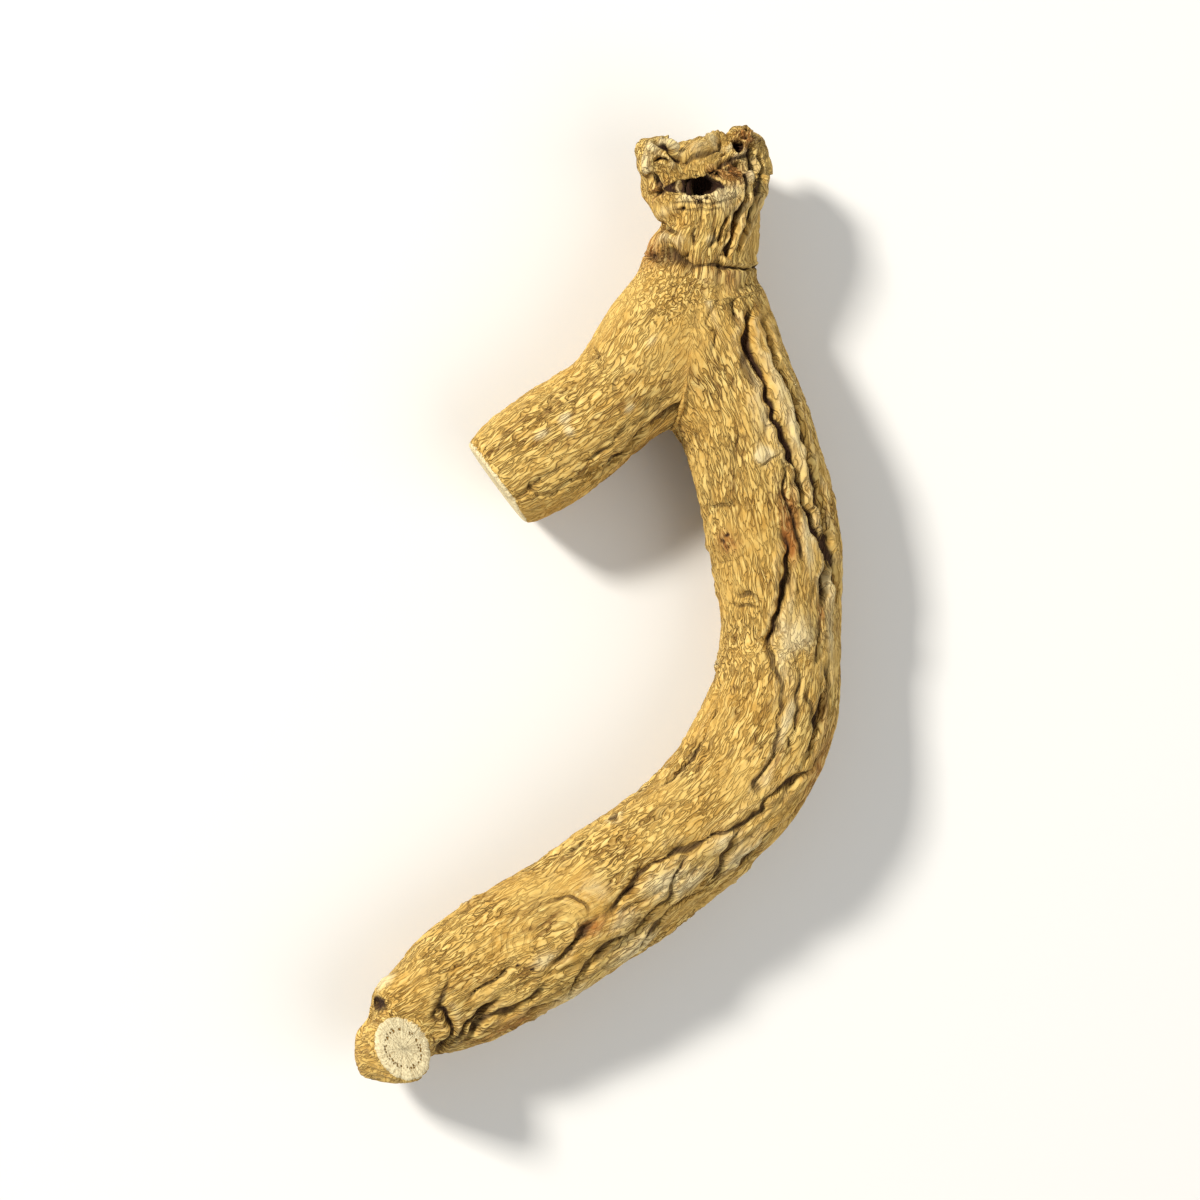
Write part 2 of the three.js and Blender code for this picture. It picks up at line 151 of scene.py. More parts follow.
# Furrows: depth, half width in mm, and their path in mm from the crown and degrees from the top.
FURROWS = (
    (1.1, 0.38, ((16.6, 37), (19.2, 23), (20.5, 14), (21.5, 17), (23.4, 17), (25.3, 14), (27.7, 16),
                 (29.4, 18), (31.9, 21), (34.2, 25), (37.1, 31), (40, 42), (43.4, 32), (44.6, 26))),
    (0.5, 0.4, ((19.4, 12), (20.8, 9), (22, 5), (23.6, 5), (25, 9))),
    (0.4, 0.25, ((25.8, 10), (26.9, 7), (28.3, 1), (29.1, -6))),
    (0.9, 0.42, ((18, 50), (20.5, 42), (23.1, 36), (25.6, 40), (29.6, 38), (33, 40), (35.8, 42), (39.7, 49),
                 (45, 57))),
    (0.6, 0.3, ((30, 14), (31, 11), (33.3, 8), (35.2, 12), (37.4, 12), (39.1, 12), (41, 15))),
    (0.7, 0.3, ((31.8, 6), (33, 15), (33, 25))),
    (0.85, 0.34, ((36.2, -4), (37.4, -1), (38.7, 1), (40, -2), (41.6, -9), (44, -18), (45.8, -24),
                  (48.4, -25))),
    (0.42, 0.28, ((46.4, -24), (48.4, -25), (51.3, -21), (53.4, -10), (56.3, -4), (58.6, 4), (61.3, 6),
                  (63.5, 14))),
    (0.6, 0.26, ((39.4, 2), (41.3, -2), (42.2, -10), (44.3, -16), (46.5, -22))),
    (0.4, 0.25, ((44.3, 27), (46.9, 24), (49.1, 19), (51, 11))),
    (0.45, 0.26, ((50, -3), (52, 3), (53.6, 5), (55.7, 9), (57.2, 13), (59, 18))),
    (0.35, 0.22, ((51.6, 13), (53.4, 16), (54.7, 26), (56, 27))),
    (0.7, 0.36, ((49, 37), (51.3, 33), (53.4, 32), (56.3, 33), (58.2, 36))),
    (0.6, 0.34, ((55.5, 56), (57.2, 49), (58.6, 39), (59.8, 31), (61.1, 26), (63, 25), (64.6, 20), (67.8, 6),
                 (70.4, -3), (73.5, -10), (75.5, -7), (78.3, 2), (80.4, 5))),
    (0.5, 0.28, ((69.6, 0), (72.4, 11), (74.1, 25), (75.8, 27), (78.3, 34), (80, 29), (82.2, 30), (84.8, 47),
                 (87, 60))),
    (0.5, 0.28, ((64.4, 19), (67.8, 28), (69.1, 42), (70.8, 49), (73.1, 43), (75.1, 43), (76.9, 46),
                 (80, 62))),
    (0.6, 0.34, ((86.6, 30), (88.8, 35), (91.6, 40), (94.1, 34), (95.9, 45), (97.4, 58))),
    (0.5, 0.3, ((60, 62), (62.1, 57), (64.7, 48), (68.1, 56), (70.4, 72), (75, 80))),
    (0.6, 0.28, ((79.8, -3), (82.2, 9), (84, 10), (87, 21))),
    (0.45, 0.22, ((84, -34), (81.4, -27), (80.7, -14), (81.1, 2))),
    (0.35, 0.2, ((86.4, -14), (86.7, -2), (86.9, 15))),
    (0.6, 0.32, ((84, 72), (86.3, 62), (89.5, 51), (91.6, 54))),
    (0.55, 0.32, ((89.1, -4), (91, 3), (94.1, 4), (96.1, 9))),
    (0.6, 0.35, ((92.8, 25), (94.4, 29), (95.6, 40), (97.2, 52))),
    (0.5, 0.35, ((95, -30), (97, -12), (98.6, 6), (98.4, 30))),
    (1.0, 0.36, ((98.1, -13), (97.7, 2), (97.4, 17), (97.5, 35), (98.6, 54), (99.6, 81))),
    (0.8, 0.3, ((98.3, 56), (97.2, 46), (95.9, 30), (94.4, 27), (91.6, 20))),
    (0.8, 0.3, ((96.1, 79), (94.6, 79), (93.3, 78), (91.6, 64))),
    (0.35, 0.2, ((79.7, 0), (80.7, 1), (82.5, 7), (84.4, 16), (87, 21))),
    (0.45, 0.2, ((11.4, 14), (13.6, 6), (15.6, 2), (17.1, -7), (17.8, -11), (18.6, -9), (19.4, -14),
                 (21.5, -26))),
    (0.45, 0.24, ((11, 36), (13.6, 28), (15.8, 21), (17.6, 16), (19.2, 7))),
    (0.3, 0.2, ((14.6, -11), (17.3, -22), (18.9, -25), (20.4, -35))),
    (0.3, 0.18, ((21.6, -5), (23.1, -7), (24.6, -17))),
    (0.3, 0.18, ((22.2, -28), (24.5, -32), (26, -39))),
    (0.3, 0.18, ((25.6, -20), (27.7, -23), (30, -30))),
    (0.4, 0.2, ((18.5, -24), (18.9, -36), (19.6, -46))),
    (0.45, 0.22, ((20.2, -43), (21.5, -50), (22.7, -58))),
    (0.4, 0.2, ((22, -41), (22.6, -56), (23.2, -70))),
    (0.45, 0.18, ((30.9, -20), (30.7, -4), (30.2, 7), (29.4, 17))),
    (0.4, 0.18, ((33.8, -9), (33.4, 11))),
    (0.35, 0.18, ((34.9, -6), (34.7, 9))),
    (0.4, 0.2, ((41.8, -66), (42.2, -36), (42.6, -20))),
    (0.5, 0.2, ((17.4, -40), (18.0, -45), (18.8, -46), (19.6, -47), (20.7, -45), (21.4, -50))),
    (0.5, 0.2, ((20.9, -60), (21.7, -57), (22.2, -68), (22.9, -76))),
    (0.25, 0.18, ((43.1, -76), (43.1, -45), (43.1, -24))),
    (0.25, 0.18, ((32.8, -82), (33.6, -55), (33.2, -32))),
    (0.25, 0.18, ((38.6, -80), (39.2, -60), (38.8, -44))),
    (0.8, 0.28, ((10.9, -130), (10.7, -91), (10.4, -47), (10.5, -20), (10.6, 0), (10.1, 30), (10.3, 70),
                 (10.6, 120))),
    (0.6, 0.6, ((20, 130), (34, 150), (47, 128), (60, 141), (75, 122))),
    (0.6, 0.6, ((28, -128), (41, -104), (52, -122), (66, -98), (83, -118))),
    (0.7, 0.4, ((24, 78), (33, 88), (41, 76), (50, 92), (58, 84))),
    (0.6, 0.35, ((30, 112), (38, 104), (46, 112), (54, 104))),
    (0.6, 0.35, ((62, 106), (70, 96), (79, 100), (88, 90))),
    (0.5, 0.3, ((56, -70), (64, -62), (73, -74), (80, -66))),
    (0.5, 0.3, ((24, 192), (36, 178), (48, 190), (62, 184), (78, 172))),
)
# Furrows of the side leg in the same way, in mm from its first station.
LEG_FURROWS = (
    (0.6, 0.36, ((18.6, 58), (16.6, 48), (15.2, 51), (13.3, 44), (11, 50), (8.6, 66))),
    (0.45, 0.24, ((6.8, 38), (7.6, 41), (8.4, 48), (9.2, 64))),
    (0.4, 0.2, ((4.6, 30), (5.4, 28), (6.1, 25), (7.4, 25))),
    (0.35, 0.22, ((13.6, 22), (14.2, 25), (16.1, 32), (17.5, 30), (19.4, 25))),
    (0.35, 0.2, ((11.3, -24), (12, -19), (12.9, -14), (14.4, -8))),
    (0.35, 0.2, ((10.8, 20), (11.6, 22), (12.4, 28), (13.6, 31))),
    (0.3, 0.2, ((9.8, 15), (10.5, 16), (11.4, 21))),
    (0.3, 0.2, ((9.4, -82), (10, -78), (11.2, -53), (12.2, -46))),
    (0.35, 0.2, ((23.2, 8), (23.9, 11), (24.2, 26), (24.2, 46))),
    (0.35, 0.2, ((24, -12), (24.8, -7), (25.4, 10))),
    (0.45, 0.35, ((4, 150), (13, 168), (24, 146))),
    (0.4, 0.3, ((8, 108), (15, 118), (23, 104))),
    (0.4, 0.3, ((8, -110), (14, -98), (22, -106))),
    (0.4, 0.22, ((20, 76), (21.6, 62), (23.4, 56))),
)
# Creases of the crown as seen from above: depth, half width and path of x, y, all in mm.
CROWN_CREASES = (
    (1.0, 0.38, ((3.6, 42.8), (4.2, 42.1), (4.9, 41.4), (5.4, 40.9), (6.1, 40.3))),
    (0.35, 0.2, ((5.9, 40.4), (6.3, 40.3), (7.0, 40.8), (8.3, 41.3), (9.3, 41.7), (9.8, 42.2),
                 (10.1, 42.8))),
    (1.0, 0.3, ((4.5, 43.2), (5.1, 42.5), (5.6, 42.1), (6.3, 41.4))),
    (0.8, 0.22, ((5.7, 42.5), (6.1, 42.1), (6.7, 41.9))),
    (0.7, 0.26, ((3.4, 40.4), (4.1, 40.8), (4.6, 40.7), (5.1, 40.2))),
    (0.5, 0.2, ((2.9, 39.0), (3.5, 39.3), (4.1, 39.0), (4.4, 38.4), (4.2, 37.8), (3.3, 37.6))),
    (0.6, 0.24, ((3.6, 37.6), (4.4, 37.9), (5.1, 37.6))),
    (0.7, 0.22, ((7.9, 39.2), (8.6, 39.3), (9.2, 39.9), (9.4, 39.2), (10.1, 38.6))),
    (0.5, 0.24, ((9.4, 39.9), (10.1, 40.7), (11.0, 40.8), (11.8, 40.2), (12.1, 39.4))),
    (0.35, 0.18, ((10.1, 39.4), (10.9, 39.6), (11.4, 39.1), (11.9, 38.6))),
    (0.3, 0.16, ((10.0, 40.1), (10.8, 40.2), (11.3, 39.9))),
    (0.7, 0.22, ((9.5, 42.4), (9.8, 42.6), (10.1, 43.0))),
    (0.7, 0.2, ((10.0, 41.2), (10.2, 41.6), (10.5, 42.1))),
    (0.5, 0.22, ((10.4, 41.1), (11.1, 40.9), (12.0, 41.1), (12.9, 41.4))),
    (0.8, 0.22, ((11.5, 40.7), (12.0, 39.9), (12.3, 38.5), (12.1, 37.0), (11.4, 35.1), (11.0, 33.6),
                 (10.5, 32.2))),
    (1.0, 0.28, ((12.9, 42.6), (12.9, 41.4), (13.1, 40.2), (13.3, 38.8), (13.2, 37.0), (12.6, 35.1),
                 (12.1, 33.6), (11.7, 32.3))),
    (0.8, 0.24, ((13.6, 41.7), (13.9, 40.2), (13.8, 38.5), (13.5, 36.7), (13.0, 35.0))),
    (0.9, 0.26, ((11.6, 36.2), (11.3, 34.7), (11.1, 33.3), (10.7, 31.7))),
    (0.6, 0.2, ((10.5, 35.8), (10.2, 34.4), (9.6, 32.9))),
    (0.45, 0.2, ((9.6, 34.6), (9.3, 33.6), (8.6, 32.5))),
    (0.4, 0.18, ((7.7, 34.9), (7.2, 33.9), (7.6, 32.7))),
    (0.8, 0.22, ((6.9, 32.5), (6.7, 32.1), (6.5, 31.5))),
    (0.12, 0.14, ((5.0, 37.0), (6.6, 36.7), (8.2, 36.6), (9.8, 37.0), (11.0, 37.3))),
    (0.1, 0.14, ((5.4, 36.2), (6.8, 36.0), (8.6, 36.1), (10.0, 36.3))),
    (0.4, 0.2, ((2.4, 37.0), (3.2, 37.1), (3.9, 36.6))),
    (0.35, 0.2, ((4.3, 34.6), (5.0, 34.9), (5.9, 34.3), (6.3, 33.6))),
    (0.8, 0.24, ((8.9, 38.9), (9.4, 39.3), (9.9, 39.4))),
)
# Pits of the crown as seen from above: x, y, depth and reach, all in mm.
CROWN_PITS = (
    (11.45, 42.7, 1.2, 0.34),
    (11.5, 42.2, 1.2, 0.36),
    (11.6, 41.7, 0.8, 0.3),
    (12.1, 43.1, 0.8, 0.3),
    (12.9, 42.1, 0.9, 0.3),
    (12.6, 43.9, 0.8, 0.3),
    (13.2, 43.2, 0.6, 0.25),
    (8.4, 37.1, 0.4, 0.22),
    (3.3, 35.4, 0.8, 0.5),
    (3.8, 32.4, 0.25, 0.25),
    (6.2, 36.1, 0.3, 0.22),
)
# Lumps of the crown as seen from above: x, y, rise, reach, and how pale they are.
CROWN_LUMPS = (
    (2.9, 39.8, 0.45, 0.6, 1.0),
    (2.8, 40.8, 0.4, 0.6, 1.0),
    (3.4, 42.0, 0.4, 0.7, 0.9),
    (4.6, 42.5, 0.35, 0.6, 0.8),
    (5.4, 41.9, 0.3, 0.35, 0.9),
    (4.9, 41.9, 0.2, 0.3, 0.5),
    (5.3, 40.2, 0.25, 0.7, 0.3),
    (7.6, 41.6, 0.3, 1.0, 0.4),
    (9.2, 42.6, 0.3, 0.7, 0.7),
    (10.7, 42.1, 0.4, 0.4, 0.9),
    (11.4, 41.1, 0.35, 0.4, 0.9),
    (12.4, 41.5, 0.3, 0.5, 0.7),
    (12.5, 42.6, 0.4, 0.3, 0.6),
    (12.6, 39.4, 0.25, 0.6, 0.7),
    (6.4, 37.2, 0.25, 0.6, 0.9),
    (7.8, 37.3, 0.1, 0.9, 0.9),
    (9.6, 37.6, 0.2, 0.7, 0.9),
    (11.0, 38.0, 0.2, 0.9, 0.8),
    (10.2, 36.4, 0.1, 1.1, 0.5),
    (5.2, 36.2, 0.3, 0.7, 0.5),
    (4.9, 33.8, 0.35, 0.8, 0.55),
    (6.4, 33.4, 0.25, 0.6, 0.55),
    (8.9, 33.4, 0.25, 0.5, 0.6),
    (3.9, 32.6, 0.35, 0.5, 0.5),
)
# The pleats on the crown's outer side: how far apart they are, as whole waves with two creases each, and
# between which x and which mm of the root they come in. All in mm.
PLEAT_SPACING = 1.0
PLEATS_FROM_X = (10.5, 12)
PLEATS_FROM = (2, 4)
# Pale fibres that cross the slot of the old stem: x and half width, and the slot's y, in mm.
SLOT_FIBRES = ((5.75, 0.14), (6.45, 0.12))
SLOT_Y = 38.1
# A furrow's raised lips: how many half widths off they lie, their height as a share of the furrow's
# depth, and how strong the painted highlight on them is.
LIPS = (2.2, 0.14, 0.45)
# The painted shade in a furrow's core ends between these distances, in its own half widths.
CORE_EDGE = (0.9, 1.5)
# Over how many mm a furrow and a crown crease run out at their ends, and how far their paths sway, in mm.
FURROW_RUNOUT = 2.2
FURROW_SWAY = 0.13
CREASE_RUNOUT = 0.6
CREASE_SWAY = 0.06

# Bulges of the main root: mm and degrees as above, rise, reach along and round, and how pale the skin is.
BULGES = (
    (46.6, 0, 0.4, 3.0, 2.2, 0.9),
    (39.1, 20, 0.3, 3.4, 0.8, 0.7),
    (29.9, -4, 0.4, 0.6, 1.2, 1.0),
    (27.0, 27, 0.3, 4.6, 0.7, 0.6),
    (55.5, 2, 0.25, 2.6, 0.6, 0.8),
    (73.6, 8, 0.5, 2.6, 1.3, 0.9),
    (71.6, 26, 0.5, 2.2, 1.3, 0.9),
    (67.4, 17, 0.35, 1.9, 1.0, 0.6),
    (66.8, 42, 0.4, 2.4, 1.2, 0.8),
    (79.0, 50, 0.55, 3.0, 1.5, 1.0),
    (78.4, 16, 0.4, 2.0, 1.1, 0.7),
    (79.0, -21, 0.35, 1.9, 1.8, 0.5),
    (85.4, 60, 0.4, 2.6, 1.2, 0.8),
    (100.7, -72, 0.7, 1.2, 1.4, 1.4),
    (36.8, -57, 0.25, 1.0, 1.0, 0.2),
    (55.0, -135, 0.5, 3.2, 2.2, 0.6),
    (68.0, 112, 0.45, 2.6, 2.0, 0.6),
    (38.0, 118, 0.45, 2.8, 1.6, 0.5),
    (88.0, 150, 0.4, 2.4, 2.0, 0.6),
    (26.0, -150, 0.4, 3.0, 2.0, 0.4),
)
# Pale patches of flat skin: mm, degrees, reach along and round, and how pale.
PALE_PATCHES = (
    (14.6, -4, 3.0, 0.4, 1.0),
    (46.3, 39, 4.5, 0.8, 0.7),
    (26.9, -1, 3.0, 1.2, 0.4),
    (50.5, -12, 4.0, 0.8, 0.5),
    (61.0, 8, 3.0, 0.7, 0.4),
    (86.6, 10, 1.6, 0.9, 0.7),
    (29.8, -5, 0.7, 0.5, 0.9),
)
# Pale flakes of the side leg, in the same way.
LEG_PATCHES = (
    (18.2, -21, 0.7, 0.5, 1.2),
    (18.6, -7, 0.5, 0.7, 1.0),
    (20.9, -19, 0.8, 0.4, 1.1),
    (13.2, 12, 0.6, 0.4, 0.8),
    (7.2, -12, 0.9, 0.4, 0.7),
)
# The whorl round an old scar: mm, degrees, how much it is squeezed along the root, and its first and last
# ring. Then how far apart its rings are and how far they wobble, how clear they are from 0 to 1, how high
# they are, and how high and wide the swelling under them is. Lengths are in mm.
WHORL = (84.9, -4, 0.7, 1.6, 5.4)
WHORL_SPACING = 0.56
WHORL_WOBBLE = 1.6
WHORL_CLEARNESS = 0.6
WHORL_RING_HEIGHT = 0.03
WHORL_SWELLING = (0.25, 2.4)
# The ring of vessels on a cut face: mm from its middle, and its half width in mm.
VESSEL_RING = 1.75
VESSEL_RING_WIDTH = 0.24
# How far apart the skin's rings lie round a bulge, in mm, and in the bulge's own sizes how far out they are
# clearest and how wide their band is.
BULGE_RINGS = (1.4, 1.35, 0.42)
# Scars of lost rootlets: seed, how many, the mm and degrees from the top between which they lie, and their
# smallest and largest reach. Then the height of their rim and the depth of their pit. Lengths are in mm.
SCARS = (19, 22, (16, 96), (55, 305), (0.4, 0.9))
SCAR_RIM = 0.25
SCAR_PIT = 0.35
# Pits of the main root: mm, degrees, depth and reach.
PITS = (
    (88.8, 3, 0.3, 0.25),
    (87.8, 12, 0.3, 0.25),
    (36.9, -57, 0.35, 0.32),
    (36.3, -51, 0.25, 0.25),
    (37.4, -52, 0.2, 0.2),
    (13.3, -62, 0.35, 0.35),
)
# Reddish brown stains: mm, degrees, reach along and round, and strength.
STAINS = (
    (10.6, -95, 1.5, 4.0, 0.8),
    (10.7, -35, 0.8, 7.0, 0.5),
    (11.6, 24, 1.4, 2.0, 0.35),
    (35.6, 8, 3.0, 1.0, 0.8),
    (37.6, 3, 2.0, 0.5, 0.9),
    (37.0, -54, 1.4, 1.6, 0.6),
    (44.6, 27, 1.6, 0.6, 0.7),
    (81.3, 6, 1.8, 0.9, 0.65),
    (93.0, 62, 5.0, 2.0, 0.5),
    (57.0, 60, 4.0, 2.2, 0.5),
    (20.0, -45, 3.0, 1.4, 0.6),
)
# The crown's own stains as seen from above: x, y, reach and strength.
CROWN_STAINS = (
    (10.9, 39.7, 1.3, 0.9),
    (8.9, 39.6, 0.9, 0.6),
    (3.9, 38.0, 1.1, 0.6),
    (3.9, 35.2, 0.9, 0.8),
    (12.4, 42.9, 1.3, 0.8),
)

# The crown's knobs, and the hollows of old stems, of the gaps between the knobs and of the pit near the tip:
# centre and half sizes in mm, and how much painted shade a hollow gets near its walls.
CROWN_KNOBS = (
    ((4.6, 41.3, 9.6), (2.1, 2.2, 3.2)),
    ((12.6, 41.6, 8.8), (2.4, 3.3, 3.5)),
    ((9.8, 40.6, 11.0), (3.4, 2.2, 1.7)),
    ((10.6, 42.6, 9.7), (2.4, 1.5, 1.9)),
    ((9.8, 41.3, 4.9), (4.0, 2.2, 2.4)),
)
HOLLOWS = (
    ((5.5, 38.1, 13.3), (1.1, 0.42, 3.0), 1.0),
    ((7.0, 38.05, 13.3), (1.9, 0.36, 3.4), 1.0),
    ((8.7, 38.25, 13.3), (1.3, 0.44, 3.0), 1.0),
    ((9.4, 44.3, 7.6), (2.4, 1.5, 1.9), 0.3),
    ((6.3, 43.4, 11.2), (0.9, 1.5, 3.0), 0.3),
    ((6.7, 43.3, 8.5), (1.1, 1.5, 9.0), 0.0),
    ((7.2, 44.2, 8.5), (2.6, 1.8, 9.0), 0.0),
    ((11.5, 42.3, 13.0), (0.35, 0.7, 1.7), 1.0),
    ((4.0, 35.6, 7.6), (1.0, 0.7, 1.0), 0.5),
    ((-21.5, -36.7, 9.3), (0.7, 0.8, 2.4), 1.0),
)
# How lumpy the knobs and hollows are, as a share of their size.
KNOB_LUMP = 0.06
# The crown's upper side has y and z above these, in mm. The features seen from above come in where the skin
# turns upwards: where the upward part of its direction passes between these.
CROWN_FROM = (31.5, 6.5)
TURNED_UP = (-0.1, 0.35)
# Between which mm of the root the knobs, the crumpled skin, and the features seen from above run out.
KNOBS_END = (9, 13)
CRUMPLES_END = (9, 12.5)
CREASES_END = (12.5, 14.5)
# Voxels that join the limbs with the knobs, and the hollows, in mm.
BODY_VOXEL = 0.3
HOLLOW_VOXEL = 0.18

# The underside's three resting places, in mm from the crown, where the skin is pressed smooth, and how far
# that reaches along and round the root, in mm.
REST_SPOTS = (15.0, 48.4, 87.4)
PRESSED_REACH = (5.0, 3.2)
# Each limb's swelling and fold depth in mm, furrows, where its waves start in mm, and how fast they pass.
LIMB_LOOKS = (
    (0.22, 0.28, FURROWS, (0, 0, 0), 1),
    (0.13, 0.16, LEG_FURROWS, (40, 70, 50), 1),
    (0.1, 0.2, (), (0, 0, 20), 2.5),
)
# How the three limbs' looks pass into one another: a share falls to about a third in this many mm.
SHARE_FALL = 1.2
# The crotch between the main root and the side leg is filled over this many mm, by up to this many.
CROTCH_REACH = 2.0
CROTCH_FILL = 0.7

# The material's patterns run along the limb: from this many mm on they are drawn out this many times.
FLOW_START = 5.0
FLOW_STRETCH = 2.4
# How fine the material's patterns are, in cells to the mm: a fine ridge's cell is a third of a mm wide.
CELLS = {
    "seam": 0.5,
    "sway": 1.2,
    "ridge": 2.9,
    "thread": 0.64,
    "tone": 1.8,
    "grain": 4.5,
    "wobble": 0.42,
    "rag": 1.5,
    "pore": 4.0,
    "patch": 0.26,
}
# How far the ridges sway, in mm, and how much ridges and threads are squeezed along the limb besides.
RIDGE_SWAY = 0.8
RIDGE_SQUEEZE = 0.5
THREAD_SQUEEZE = 0.3
# Lines that the material draws where a pattern crosses its mean, as painted shade of the creases: its
# name, and the line's width in the pattern's own units and its strength.
CREASE_LINES = (
    ("wrinkle", 0.16, 0.7),
    ("crinkle", 0.2, 0.2),
    ("thread", 0.013, 0.75),
)
# Patches with a ragged edge: name, and the values between which they come in. The first is painted
# shade, the second pale skin with a painted highlight on furrow lips, the third real stains.
RAGGED_EDGES = (
    ("painted_shade", 0.45, 1.1),
    ("pale_and_lip_highlight", 0.35, 1.05),
    ("stain", 0.35, 1.1),
)
# How deep the material's own relief is, in mm.
BUMP_DEPTH = 0.16
# What is stored on the skin for the material, besides the two flows.
LAYERS = (
    "wrinkle", "crinkle", "strength", "broken", "painted_shade", "pale_and_lip_highlight", "stain", "branch", "cut_face", "whorl",
    "whorl_reach", "seam", "core",
)

# The table's half width, the point that lamps and camera look at, and the camera's spot, in metres.
TABLE_HALF = 1.5
LOOK_AT = (0.0, 0.0, 0.006)
CAMERA_SPOT = (-0.0525, 0.0034, 0.3063)
# The camera's focal length and sensor width, in mm.
FOCAL_LENGTH = 98.0
SENSOR_WIDTH = 36.0
# Lamps: name, spot and size in metres, power in watts, and colour.
LAMPS = (
    ("window_light", (-0.55, 0.34, 0.5), 0.12, 7.6, (1.0, 0.97, 0.92)),
    ("fill_light", (0.5, -0.3, 0.6), 0.8, 3.1, (1.0, 0.98, 0.95)),
)
# The light from all round: its strength, and its and the table's colour as sRGB hex.
SKY_STRENGTH = 0.42
SKY_COLOUR = "E8ECF0"
TABLE_COLOUR = "EDEBE6"


def seeded_draw(seed):
    """A function that returns repeatable random numbers from 0 to 1, by 32-bit multiply and shift mixing."""
    mask = 0xFFFFFFFF
    state = seed

    def draw():
        nonlocal state
        state = (state + 0x6D2B79F5) & mask
        mixed = ((state ^ (state >> 15)) * (1 | state)) & mask
        stirred = ((mixed ^ (mixed >> 7)) * (61 | mixed)) & mask
        mixed = ((mixed + stirred) & mask) ^ mixed
        return (mixed ^ (mixed >> 14)) / 2**32

    return draw


def make_waves(seed, count, around, along):
    """Random waves round and along a limb: whole turns round it, signed pitch along it in mm, and start."""
    draw = seeded_draw(seed)
    waves = []
    for _ in range(count):
        turns = around[0] + math.floor(draw() * (around[1] - around[0] + 1))
        pitch = along[0] + draw() * (along[1] - along[0])
        lean = -1 if draw() < 0.5 else 1
        waves.append((turns, lean * pitch, draw() * 2 * math.pi))
    return waves


def wave_sum(kind, along, angle, thick=1.0):
    """The waves' cosines added up, divided by the root of half their number, so mostly from -1.5 to 1.5. On
    a limb that isn't as thick as the main root fewer whole turns go round it."""
    waves = make_waves(*kind)
    total = sum(
        np.cos(max(1, round(turns * thick)) * angle + 2 * math.pi * along / pitch + start)
        for turns, pitch, start in waves
    )
    return total / math.sqrt(len(waves) / 2)


def space_waves(kind, points):
    """Cosine waves that run through space in seeded directions, added up and divided as above."""
    seed, count, lengths = kind
    rng = np.random.default_rng(seed)
    headings = unit(rng.normal(size=(count, 3))) * (2 * math.pi / rng.uniform(*lengths, count))[:, None]
    starts = rng.uniform(0, 2 * math.pi, count)
    return np.cos(points @ headings.T + starts).sum(axis=1) / math.sqrt(count / 2)


def dip(value, wide):
    """1 where the value is 0, falling to 0 on both sides as a bell curve."""
    return np.exp(-((value / wide) ** 2))


def crease(value, wide):
    """1 where the value is 0, falling to 0 on both sides from a sharp point."""
    return np.exp(-np.abs(value) / wide)


def smooth_step(value, start, end):
    """0 before the start, 1 after the end, and an S-shaped cubic between them."""
    part = np.clip((value - start) / (end - start), 0.0, 1.0)
    return part * part * (3 - 2 * part)


def mixed(low, high, share):
    """Between low, where the share is 0, and high, where it is 1."""
    return low + (high - low) * share


def unit(rows):
    """Each row divided by its length."""
    return rows / np.linalg.norm(rows, axis=-1, keepdims=True)


def smooth_through(points, steps):
    """Samples of a smooth curve through the points: each span is a cubic whose slope at a point is half the
    step between that point's two neighbours."""
    p = np.asarray(points, float)
    q = np.vstack([2 * p[0] - p[1], p, 2 * p[-1] - p[-2]])
    a, b, c, d = (part[:, None, :] for part in (q[:-3], q[1:-2], q[2:-1], q[3:]))
    t = (np.arange(steps) / steps)[None, :, None]
    cubic = 0.5 * (2 * b + (c - a) * t + (2 * a - 5 * b + 4 * c - d) * t**2 + (3 * b - a - 3 * c + d) * t**3)
    return np.vstack([cubic.reshape(-1, p.shape[1]), p[-1]])


Place = namedtuple("Place", "along angle reach gap outward")


class Limb:
    """A limb's centre line measured in mm from its first station, with its girth and its own directions."""

    def __init__(self, stations, reference):
        line = smooth_through(stations, 24)
        self.centre = line[:, :3]
        self.girth = line[:, 3:]
        steps = np.linalg.norm(np.diff(self.centre, axis=0), axis=1)
        self.along = np.concatenate([[0.0], np.cumsum(steps)])
        self.length = self.along[-1]
        self.forward = unit(np.gradient(self.centre, self.along, axis=0))
        side = np.asarray(reference)
        self.top = unit(side - (self.forward @ side)[:, None] * self.forward)
        self.flank = np.cross(self.top, self.forward)

    def rows_at(self, rows, along):
        """Rows given for each sample, read between samples at these lengths along the limb."""
        return np.stack([np.interp(along, self.along, column) for column in rows.T], axis=1)

    def locate(self, points):
        """For each point: mm along the limb, angle round it, how many girths from the centre line, mm from
        the skin, and the direction out of the limb."""
        nearest = np.concatenate([
            np.argmin(((block[:, None, :] - self.centre[None]) ** 2).sum(axis=2), axis=1)
            for block in np.array_split(points, max(1, len(points) // 2000))
        ])
        offset = points - self.centre[nearest]
        along = self.along[nearest] + (offset * self.forward[nearest]).sum(axis=1)
        offset = points - self.rows_at(self.centre, along)
        girth = self.rows_at(self.girth, along)
        top = self.rows_at(self.top, along)
        flank = self.rows_at(self.flank, along)
        rise = (offset * top).sum(axis=1) / girth[:, 1]
        side = (offset * flank).sum(axis=1) / girth[:, 0]
        angle = np.arctan2(side, rise)
        reach = np.hypot(side, rise)
        gap = (reach - 1) * girth.mean(axis=1) + np.maximum(0, along - self.length) + np.maximum(0, -along)
        outward = unit(np.cos(angle)[:, None] * top + np.sin(angle)[:, None] * flank)
        return Place(along, angle, reach, gap, outward)


def rounded_end(reach):
    """Pushes and shrinks of an end's rings, as on a quarter of an ellipse that reaches this far."""
    turn = np.linspace(0, math.pi / 2, 9)[1:]
    return np.stack([reach * np.sin(turn), np.cos(turn)], axis=1)


